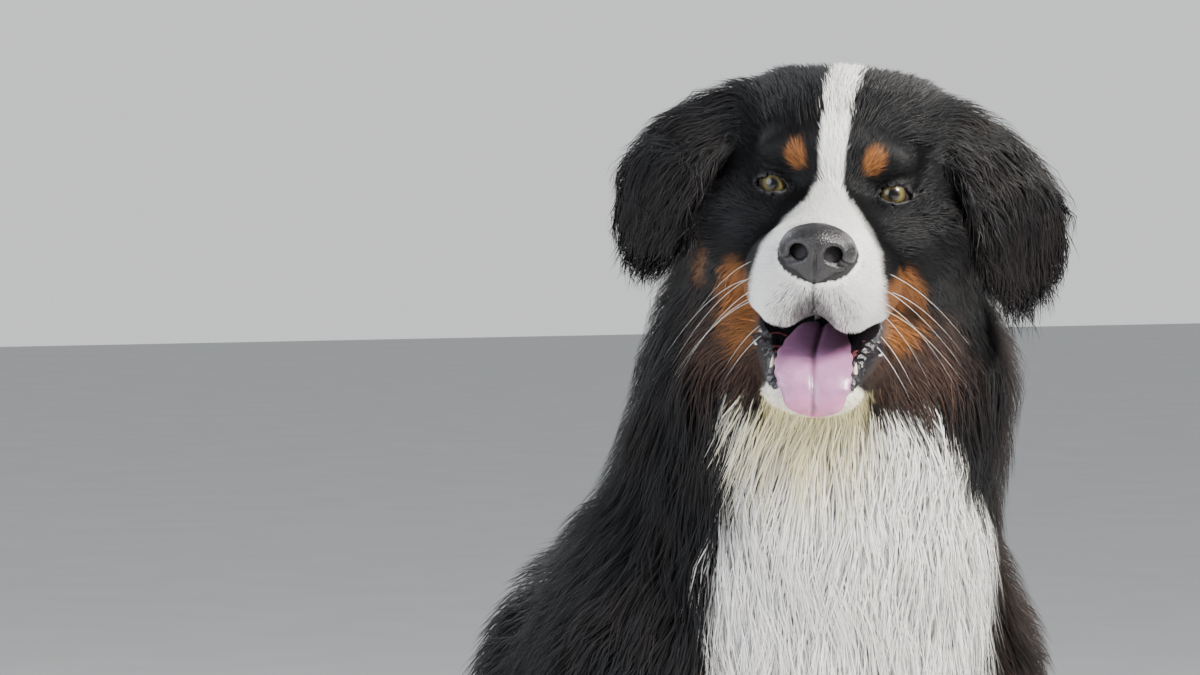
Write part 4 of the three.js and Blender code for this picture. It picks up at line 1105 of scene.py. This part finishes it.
def tufts(name, C, nn, w, colours, mat, uvkey, split=1):
    """closed three-sided blades round each middle line, in pieces of under 200,000 triangles"""
    n, k, _ = C.shape
    order = np.argsort(uvkey[:, 2], kind="stable") if split > 1 else np.arange(n)
    for part, ids in enumerate(np.array_split(order, split)):
        c = C[ids]
        m = len(ids)
        T = np.empty_like(c)
        T[:, 1:-1] = c[:, 2:] - c[:, :-2]
        T[:, 0], T[:, -1] = c[:, 1] - c[:, 0], c[:, -1] - c[:, -2]
        T /= np.maximum(np.linalg.norm(T, axis=2), 1e-9)[:, :, None]
        S = np.cross(T, nn[ids][:, None])
        S /= np.maximum(np.linalg.norm(S, axis=2), 1e-9)[:, :, None]
        U = np.cross(S, T)
        t = np.arange(k) / (k - 1)
        prof = (1 - t[:-1] ** 2.2) * np.array([0.75] + [1.0] * (k - 2))
        if k == 2:
            prof = np.array([1.0])
        half = (w[ids] / 2)[:, None] * prof[None]
        ring = []
        for a, b in ((-1.0, -0.10), (1.0, -0.10), (0.0, 0.34)):
            ring.append(c[:, :-1] + S[:, :-1] * (half * a)[:, :, None] + U[:, :-1] * (half * b)[:, :, None])
        R = np.stack(ring, 2).reshape(m, (k - 1) * 3, 3)
        Vt = np.concatenate([R, c[:, -1:]], 1)  # m, 3(k-1)+1, 3
        nv = Vt.shape[1]
        f = [(0, 2, 1)]
        for i in range(k - 2):
            for j in range(3):
                a, b = i * 3 + j, i * 3 + (j + 1) % 3
                f += [(a, b, b + 3), (a, b + 3, a + 3)]
        last = (k - 2) * 3
        f += [(last, last + 1, nv - 1), (last + 1, last + 2, nv - 1), (last + 2, last, nv - 1)]
        Ft = (np.array(f)[None, :, ::-1] + (np.arange(m) * nv)[:, None, None]).reshape(-1, 3)
        col = np.repeat(colours[ids], nv, axis=0)
        across = np.tile(np.r_[np.tile([0.0, 1.0, 0.5], k - 1), 0.5], m)
        along = np.tile(np.r_[np.repeat(t[:-1], 3), 1.0], m)
        own = np.repeat(RNG.random(m), nv)
        # each blade's own cell on the unwrap: rows by height, columns by the way round
        rows = int(math.ceil(math.sqrt(m)))
        o1 = np.argsort(uvkey[ids, 1], kind="stable")
        row = np.empty(m, int)
        row[o1] = np.arange(m) // rows
        o2 = np.lexsort((uvkey[ids, 0], row))
        colm = np.empty(m, int)
        pos = np.arange(m)
        first = np.searchsorted(row[o2], np.arange(row.max() + 1))
        colm[o2] = pos - first[row[o2]]
        uc = (colm + 0.5) / (rows + 1)
        vc = (row + 0.5) / (rows + 1)
        cellw = min(0.003, 0.8 / (rows + 1))
        uv = np.stack([np.repeat(uc, nv) + (across - 0.5) * cellw, np.repeat(vc, nv) + (along - 0.5) * cellw], 1)
        ob = make(name if split == 1 else f"{name}_{part + 1}", Vt.reshape(-1, 3), Ft, mat, colours=col,
                  floats={"across": across, "along": along, "own": own}, uv=uv)
        geo = np.empty(len(ob.data.vertices) * 3, np.float32)
        ob.data.vertices.foreach_get("normal", geo)
        soft = np.repeat(nn[ids], nv, axis=0) * 0.62 + geo.reshape(-1, 3) * 0.38
        ob.data.normals_split_custom_set_from_vertices(normalise(soft).astype(np.float32))
        print(name, part, len(Ft))


def unwrap(P, head):
    """the skin laid out: the way round and the height along the body, or round the muzzle's line on the head"""
    if head:
        q = to_head(P)
        return np.stack([np.arctan2(q[:, 0], q[:, 2] + 40), q[:, 1], np.arctan2(q[:, 0], q[:, 2] + 40)], 1)
    s = P[:, 1] * 0.55 - P[:, 2] * 0.83
    return np.stack([np.arctan2(P[:, 0], P[:, 2] * 0.55 + P[:, 1] * 0.83 - 240), s, s], 1)


def vary(P, col, white):
    """each hair's own shade: whites shift least"""
    n = len(P)
    v = np.exp(RNG.normal(0, 0.06 + 0.26 * (1 - white), n))
    c = col * v[:, None]
    dark = 1 - white
    c = c * (1 + (RNG.random((n, 1)) - 0.5) * 0.10 * np.array([1.0, 0.2, -0.8]))
    return np.clip(c, 0, 0.92)


def coat(name, mask, density, count, steps, mat, head, split, **kw):
    w_add = kw.pop("wide", 1.0)
    longer = kw.pop("longer", 0.0)
    P = roots(mask, density, count)
    _, A = field(P, weights=True)
    if head:
        qq = to_head(P)
        for s in (1, -1):
            u = eye_local(qq, s)
            near = np.clip((np.sqrt((u * u).sum(1)) - 15) / 22, 0, 1)
            A[:, 1] *= 0.42 + 0.58 * near
    if longer:
        A[:, 1] = np.maximum(A[:, 1], longer)
        A[:, 0] = np.maximum(A[:, 0], longer * 0.33)
    C, nn, L = grow(P, A, steps=steps, **kw)
    part = np.where(A[:, 7] > 0.5, 1.0, 0.0)
    q = to_head(P)
    if head == "ear":
        part[:] = 2.0
    mid = (C[:, 0] + C[:, 1]) / 2 if steps == 1 else C[:, 1] * (1 if steps == 2 else 0.5) + C[:, 2] * (0 if steps == 2 else 0.5)
    if steps > 1:
        mid = mid + RNG.normal(0, 1.6 if head else 3.2, mid.shape)
    col, white = markings(mid, nn, part, soft=1.0)
    if steps == 1 and head:
        st = np.clip(1.25 - np.sqrt((q[:, 0] / 26) ** 2 + ((q[:, 2] + 80) / 24) ** 2), 0, 1) * (q[:, 1] < -60)
        dark = RNG.random(count) < st * 0.75 + 0.5 * np.exp(-(q[:, 0] / 3.0) ** 2) * (st > 0)
        col[dark] = GREY * (0.25 + 0.6 * RNG.random((int(dark.sum()), 1)))
        white = np.clip(col[:, 1] / 0.7, 0, 1)
    w = A[:, 2] * w_add * (0.75 + 0.5 * RNG.random(count))
    tufts(name, C, nn, w, vary(P, col, white), mat, unwrap(P, bool(head)), split)


K = 1.0
dens_face = np.exp(-np.clip(TQ[:, 1] + 40, 0, 200) / 160.0) * np.where(TA[:, 1] < 12, 2.0, 1.0)
crown = T_head & ~ear_t & (TQ[:, 2] > 34 + 0.25 * np.clip(-TQ[:, 1], -40, 60)) & (TQ[:, 1] > -16)
coat("coat_face", T_head & short & ~ear_t & ~crown, dens_face, int(72500 * K), 1, M_SHORT, True, 2, jitter=0.16, lift=1.0, scale=0.9)
coat("coat_feet", ~T_head & short, np.ones(len(F)), int(19000 * K), 1, M_SHORT, False, 1, jitter=0.18, wide=1.3)
coat("coat_crown", crown, np.ones(len(F)), int(8500 * K), 2, M_LONG, True, 1, jitter=0.2, clump=0.35, clump_r=9, lift=1.15, longer=24.0, wide=0.85)
coat("coat_ears", ear_t, np.ones(len(F)), int(10500 * K), 3, M_LONG, "ear", 1, jitter=0.14, clump=0.4, clump_r=12, droop=0.12, lift=1.3, wide=0.9, wave=2.5)
coat("coat_cheeks", T_head & ~short & ~ear_t & ~crown, np.ones(len(F)), int(10000 * K), 2, M_LONG, True, 1, jitter=0.18, clump=0.3, clump_r=8, lift=1.2)
coat("coat_chest", front_t & ~short, np.where(TC[:, 1] < -90, 1.5, 0.8), int(36500 * K), 3, M_LONG, False, 4, jitter=0.13, clump=0.36, clump_r=26, droop=0.08, wide=0.76, lift=1.3, wave=4.5)
coat("coat_body", rear_t, np.ones(len(F)), int(19500 * K), 2, M_LONG, False, 2, jitter=0.16, clump=0.42, clump_r=11, wide=1.25, lift=1.15, wave=3.0)


# ------------------------------------------------------------------ eyes
def eyeball(s):
    c = from_head([s * EYE_X, -EYE_FORE, 0])
    gaze = unit(np.array([s * 0.10, -1.0, 0.02])) @ HEAD
    e1 = unit(np.cross(gaze, HEAD_Z))
    e2 = np.cross(e1, gaze)
    nr, na = 40, 56
    th = np.linspace(0, math.pi, nr + 1)[1:-1]
    ph = np.linspace(0, 2 * math.pi, na, endpoint=False)
    R = 12.05
    pts, ring = [c + gaze * (R + 0.9)], [0.0]
    for t in th:
        bulge = 0.9 * max(0, 1 - (t / 0.62) ** 2)
        r = R + bulge
        for a in ph:
            pts.append(c + r * (math.cos(t) * gaze + math.sin(t) * (math.cos(a) * e1 + math.sin(a) * e2)))
            ring.append(t / (math.pi / 2))
    pts.append(c - gaze * R)
    ring.append(2.0)
    f = []
    for a in range(na):
        b = (a + 1) % na
        f.append((0, 1 + a, 1 + b))
        for i in range(nr - 2):
            p, q_ = 1 + i * na + a, 1 + i * na + b
            f += [(p, p + na, q_ + na), (p, q_ + na, q_)]
        l = 1 + (nr - 2) * na
        f.append((l + a, len(pts) - 1, l + b))
    return np.array(pts), np.array(f), np.array(ring)


def outward(V, F):
    v = V[F]
    vol = np.einsum("ij,ij->i", v[:, 0], np.cross(v[:, 1], v[:, 2])).sum()
    return F if vol > 0 else F[:, ::-1]


for s, side in ((1, "left"), (-1, "right")):
    ev, ef, er = eyeball(s)
    make(f"eyeball_{side}", ev, outward(ev - ev.mean(0), ef), M_EYE, floats={"ring": np.minimum(er, 1)}, nodes=[f"eye_{side}"])


# ------------------------------------------------------------------ nose, tongue, teeth, claws, whiskers
def dense(f, lo, hi, cell):
    lo, hi = np.array(lo, float), np.array(hi, float)
    n = np.ceil((hi - lo) / cell).astype(int) + 1
    g = np.stack(np.meshgrid(*[np.arange(x) for x in n], indexing="ij"), -1).reshape(-1, 3)
    P = lo + g * cell
    V = f(P).reshape(n)
    return surface_nets(V, lo, cell)


def nose_at(q):
    d = egg_at(q, [0, -99, -34], [24, 20, 17], turned(-12))
    for s in (1, -1):
        d = blend(d, egg_at(q, [s * 14, -101, -38], [12, 15, 13]), 8)
    d = blend(d, egg_at(q, [0, -104, -50], [12, 10, 10]), 8)
    for s in (1, -1):
        # nostril: a comma, round in front and drawn out to a slit at the side
        d = carve(d, limb_at(q, [s * 11.0, -122, -38.5], [s * 13.5, -108, -36], 7.0, 4.6), 3)
        d = carve(d, limb_at(q, [s * 13, -117, -42], [s * 26, -104, -46], 3.0, 1.8), 2.5)
    d = d + 1.6 * np.exp(-(q[:, 0] / 1.2) ** 2) * (q[:, 2] < -34) * (q[:, 1] < -104)
    return d + 0.25


nv_, nq_ = dense(nose_at, [-32, -128, -66], [32, -76, -12], 0.9)
nf_ = tris_of(nq_)
make("nose_pad", from_head(nv_), outward(nv_ - nv_.mean(0), nf_), M_NOSE, nodes=["nose"])

TONGUE = np.array([(0, 20, -94, 15), (0, 6, -96, 17), (0, -34, -107, 23), (1, -62, -113.5, 26.5), (2, -79, -122, 27), (4, -86.5, -131, 25.5), (5, -89, -141, 21)], float)


def smooth_line(K, per=8):
    """a Catmull-Rom line through the rows of K"""
    out = []
    for i in range(1, len(K) - 2):
        p0, p1, p2, p3 = K[i - 1], K[i], K[i + 1], K[i + 2]
        for t in np.arange(per) / per:
            out.append(0.5 * (2 * p1 + (p2 - p0) * t + (2 * p0 - 5 * p1 + 4 * p2 - p3) * t * t + (3 * p1 - p0 - 3 * p2 + p3) * t ** 3))
    return np.array(out + [K[-2]])


T_LINE = smooth_line(np.vstack([TONGUE, 2 * TONGUE[-1] - TONGUE[-2]]))


def tongue_at(q):
    """a soft slab swept along its middle line, hollowed along the top"""
    best = np.full(len(q), 1e9)
    off = np.zeros(len(q))
    past = np.zeros(len(q))
    xc = np.zeros(len(q))
    w = np.ones(len(q))
    run = np.zeros(len(q))
    n = len(T_LINE) - 1
    for i in range(n):
        a, b = T_LINE[i], T_LINE[i + 1]
        e = (b[1:3] - a[1:3])
        ln = np.linalg.norm(e)
        e = e / ln
        up = np.array([e[1], -e[0]])
        v = q[:, 1:3] - a[1:3]
        t0 = v @ e
        t = np.clip(t0, 0, ln)
        r = v - t[:, None] * e
        d2 = (r * r).sum(1)
        m = d2 < best
        best = np.where(m, d2, best)
        side = r @ up
        over = np.where(t0 > ln, t0 - ln, 0) * (i == n - 1) + np.where(t0 < 0, -t0, 0) * (i == 0)
        off = np.where(m, np.where((i in (0, n - 1)) & (over > 0), side, np.sign(side) * np.sqrt(d2)), off)
        past = np.where(m, over, past)
        xc = np.where(m, a[0] + (b[0] - a[0]) * t / ln, xc)
        w = np.where(m, a[3] + (b[3] - a[3]) * t / ln, w)
        run = np.where(m, (i + t / ln) / n, run)
    off = off * TONGUE_UP
    x = q[:, 0] - xc
    w = w * (1 + 0.02 * np.sin(run * 40))
    top = off > 0
    groove = top * (1.7 * np.exp(-(x / 1.9) ** 2) + 1.5 * np.exp(-(x / 10.0) ** 2))
    k = np.sqrt((x / w) ** 2 + (off / 5.6) ** 2 + (past / 11.0) ** 2)
    return (k - 1) * 5.0 + groove


TONGUE_UP = 1.0
# the side that faces up at the root is the top
if tongue_at(np.array([[0, -20.0, -101.0]]))[0] < tongue_at(np.array([[0, -20.0, -106.0]]))[0]:
    TONGUE_UP = -1.0
tv, tq = dense(tongue_at, [-36, -108, -172], [40, 30, -76], 1.2)
tf = tris_of(tq)
edge = np.clip((np.abs(tv[:, 0] - 2) - 12) / 14, 0, 1)
tipm = np.clip((-132 - tv[:, 2]) / 18, 0, 1)
tcol = np.array([0.38, 0.175, 0.315]) * (1 - 0.35 * tipm[:, None]) + np.array([0.55, 0.13, 0.17]) * 0.4 * tipm[:, None]
# painted shade: a dark line down the groove along the tongue's middle; the sides a little darker
tcol = tcol * (1 - 0.12 * edge[:, None]) * (1 - 0.5 * np.exp(-((tv[:, 0] - np.interp(tv[:, 2], [-145, -135, -123, -114, -107], [5.0, 4.0, 2.0, 1.0, 0.0])) / 1.9) ** 2))[:, None]
# painted shade: the tongue darker where it runs back into the mouth
tongue_mouth_shade = np.clip((tv[:, 1] + 20) / 40, 0, 1)[:, None]
tcol = tcol * (1 - 0.6 * tongue_mouth_shade)
make("tongue_flesh", from_head(tv), outward(tv - tv.mean(0), tf), M_TONGUE, colours=tcol, nodes=["tongue"])


def spikes(items, sides=10, rings=7):
    """curved tapering cones: each (base, direction, bend, length, radius, flat)"""
    VV, FF, o = [], [], 0
    for base, d, bend, length, r0, flat in items:
        d, bend = unit(d), np.asarray(bend, float)
        x = unit(np.cross(d, [0.13, 0.2, 0.97]))
        z = np.cross(x, d)
        pts = []
        for i in range(rings):
            t = i / rings
            c = np.asarray(base) + d * length * t + bend * t * t
            r = r0 * (1 - t ** 1.6)
            for a in np.linspace(0, 2 * math.pi, sides, endpoint=False):
                pts.append(c + x * math.cos(a) * r * flat + z * math.sin(a) * r)
        pts.append(np.asarray(base) + d * length + bend)
        f = [(0, i + 1, i) for i in range(1, sides - 1)]
        for i in range(rings - 1):
            for j in range(sides):
                a, b = i * sides + j, i * sides + (j + 1) % sides
                f += [(a, b, b + sides), (a, b + sides, a + sides)]
        l = (rings - 1) * sides
        f += [(l + j, l + (j + 1) % sides, len(pts) - 1) for j in range(sides)]
        pts = np.array(pts)
        f = outward(pts - pts.mean(0), np.array(f))
        VV.append(pts)
        FF.append(f + o)
        o += len(pts)
    return np.concatenate(VV), np.concatenate(FF)


claws, names = [], []
for s in (1, -1):
    side = "left" if s > 0 else "right"
    for leg, at, out, z in (("fore", (s * (STANCE + 1), -168), 8, 1.06), ("hind", (s * (HIND_STANCE + 2), 14), 10, 0.98)):
        for i, n in enumerate((-1.5, -0.5, 0.5, 1.5)):
            a = math.radians(out * s + n * 13)
            reach = (40 if abs(n) > 1 else 52) * z + 22 * z
            base = np.array([at[0] + math.sin(a) * reach + n * 9 * z, at[1] - math.cos(a) * reach, 17 * z])
            d = unit([math.sin(a), -math.cos(a), -0.15])
            claws.append((base - d * 7, d, np.array([0, 0, -6.5]), 20, 4.6, 0.72))
            names.append(f"claw_{leg}_{side}_{i + 1}")
cv, cf = spikes(claws)
make("claws", cv, cf, M_CLAW, nodes=names)

teeth = []
for s in (1, -1):
    teeth.append((from_head([s * 28, -52, -126]), np.array([s * 0.10, -0.15, 1]) @ HEAD, np.array([0, 2.5, 0]) @ HEAD, 11, 3.4, 0.85))
    teeth.append((from_head([s * 26, -26, -114]), np.array([s * 0.05, 0, 1]) @ HEAD, np.zeros(3), 6, 3.4, 1.0))
    teeth.append((from_head([s * 28, -12, -108]), np.array([s * 0.05, 0, 1]) @ HEAD, np.zeros(3), 7, 3.8, 1.0))
    teeth.append((from_head([s * 20, -62, -80]), np.array([s * 0.05, -0.1, -1]) @ HEAD, np.array([0, 2, 0]) @ HEAD, 14, 4.0, 0.8))
tv2, tf2 = spikes(teeth, 10, 6)
make("teeth", tv2, tf2, M_TOOTH)


def hairs(items, sides=4, rings=12):
    """thin tapering whiskers along a drooping arc"""
    VV, FF, o = [], [], 0
    for base, d, bend, length, r0 in items:
        d = unit(d)
        x = unit(np.cross(d, [0.13, 0.2, 0.97]))
        z = np.cross(x, d)
        pts = []
        for i in range(rings):
            t = i / rings
            c = base + d * length * t + bend * t ** 2
            r = r0 * (1 - t ** 1.5)
            for a in np.linspace(0, 2 * math.pi, sides, endpoint=False):
                pts.append(c + (x * math.cos(a) + z * math.sin(a)) * r)
        pts.append(base + d * length + bend)
        f = [(0, i + 1, i) for i in range(1, sides - 1)]
        for i in range(rings - 1):
            for j in range(sides):
                a, b = i * sides + j, i * sides + (j + 1) % sides
                f += [(a, b, b + sides), (a, b + sides, a + sides)]
        l = (rings - 1) * sides
        f += [(l + j, l + (j + 1) % sides, len(pts) - 1) for j in range(sides)]
        pts = np.array(pts)
        VV.append(pts)
        FF.append(outward(pts - pts.mean(0), np.array(f)) + o)
        o += len(pts)
    return np.concatenate(VV), np.concatenate(FF)


wh = []
for s in (1, -1):
    for j, (y, z) in enumerate([(-84, -58), (-68, -52), (-82, -67), (-62, -62), (-76, -75), (-64, -72)]):
        base0 = np.array([s * 40.0, y, z])
        b = settle(np.array([from_head(base0)]), 6, 0.5, 6.0)[0]
        ln = 50 + 30 * RNG.random()
        d = np.array([s * (0.75 + 0.2 * RNG.random()), 0.25 + 0.3 * RNG.random(), -0.25 - 0.35 * RNG.random()]) @ HEAD
        wh.append((b, d, np.array([0, 0, -24.0 - 22 * RNG.random()]), ln, 0.2))
    for y, z in ((-30, -104), (-22, -98)):
        b = settle(np.array([from_head([s * 44, y, z])]), 6, 0.5, 6.0)[0]
        wh.append((b, np.array([s * 0.8, 0.1, -0.7]) @ HEAD, np.array([0, 0, -14.0]), 34, 0.3))
wv, wf = hairs(wh)
make("whiskers", wv, wf, M_SHORT, colours=np.tile([0.62, 0.60, 0.57], (len(wv), 1)),
     floats={"across": np.zeros(len(wv)), "along": np.full(len(wv), 0.7), "own": np.zeros(len(wv))})

# ------------------------------------------------------------------ floor, lights, camera
fl, fnt, fbs = material("floor")
tc = fnt.nodes.new("ShaderNodeTexCoord")
nz = node(fnt, "ShaderNodeTexNoise", Scale=6.0, Detail=3.0)
fnt.links.new(tc.outputs["Object"], nz.inputs["Vector"])
fr = ramp(fnt, nz.outputs["Fac"], [(0.3, (0.78, 0.78, 0.775)), (0.7, (0.82, 0.82, 0.815))])
fnt.links.new(fr.outputs["Color"], fbs.inputs["Base Color"])
fbs.inputs["Roughness"].default_value = 0.9
bpy.ops.mesh.primitive_plane_add(size=30, location=(0, 0, 0))
floor = bpy.context.object
floor.name = "floor"
floor.data.materials.append(fl)

E = (from_head([0, 0, 0]) + SHIFT) / 1000
AZ, EL = math.radians(-28), math.radians(0.93)
CAM = E + 4.2 * np.array([math.sin(AZ) * math.cos(EL), -math.cos(AZ) * math.cos(EL), math.sin(EL)])
cam = bpy.data.cameras.new("camera")
cam.lens, cam.sensor_width, cam.clip_end = 180, 36, 100
co = bpy.data.objects.new("camera", cam)
bpy.context.scene.collection.objects.link(co)
d = E - CAM
yaw = math.atan2(d[0], d[1]) - math.radians(2.243)
pitch = math.radians(-2.36)
axis = Vector((math.sin(yaw) * math.cos(pitch), math.cos(yaw) * math.cos(pitch), math.sin(pitch)))
co.location = Vector(CAM)
co.rotation_euler = axis.to_track_quat("-Z", "Y").to_euler()
bpy.context.scene.camera = co

right = np.cross(axis, [0, 0, 1.0])
right = right / np.linalg.norm(right)
toward = -np.array(axis)


def area(name, pos, target, size, power, colour):
    l = bpy.data.lights.new(name, "AREA")
    l.shape, l.size, l.energy, l.color = "DISK", size, power, colour
    o = bpy.data.objects.new(name, l)
    bpy.context.scene.collection.objects.link(o)
    o.location = Vector(pos)
    o.rotation_euler = (Vector(target) - Vector(pos)).to_track_quat("-Z", "Y").to_euler()
    return o


area("key", E + right * 1.7 + toward * 1.5 + np.array([0, 0, 1.6]), E - [0, 0, 0.15], 1.0, 290, (1.0, 0.975, 0.93))
area("fill", E - right * 2.2 + toward * 1.2 + np.array([0, 0, 0.5]), E - [0, 0, 0.2], 2.2, 82, (0.86, 0.91, 1.0))
area("rim", E + right * 1.6 - toward * 1.6 + np.array([0, 0, 1.2]), E, 0.9, 46, (1.0, 0.95, 0.88))
area("back", E - right * 1.5 - toward * 1.8 + np.array([0, 0, 1.4]), E - [0, 0, 0.2], 1.2, 22, (0.9, 0.95, 1.0))
world = bpy.data.worlds.new("studio")
bpy.context.scene.world = world
world.use_nodes = True
wn = world.node_tree
bg = wn.nodes["Background"]
# a pale backdrop beyond the dog, a dimmer studio on the near side
wt = wn.nodes.new("ShaderNodeTexCoord")
dot = wn.nodes.new("ShaderNodeVectorMath")
dot.operation = "DOT_PRODUCT"
dot.inputs[1].default_value = (float(axis[0]), float(axis[1]), 0.0)
wn.links.new(wt.outputs["Generated"], dot.inputs[0])
ma = wn.nodes.new("ShaderNodeMath")
ma.operation = "MULTIPLY_ADD"
wn.links.new(dot.outputs["Value"], ma.inputs[0])
ma.inputs[1].default_value = 0.5
ma.inputs[2].default_value = 0.5
wr = ramp(wn, ma.outputs[0], [(0.0, (0.20, 0.21, 0.225)), (0.55, (0.28, 0.30, 0.32)), (0.9, (0.80, 0.82, 0.84)), (1.0, (0.86, 0.87, 0.88))])
wn.links.new(wr.outputs["Color"], bg.inputs["Color"])
bg.inputs["Strength"].default_value = 1.0
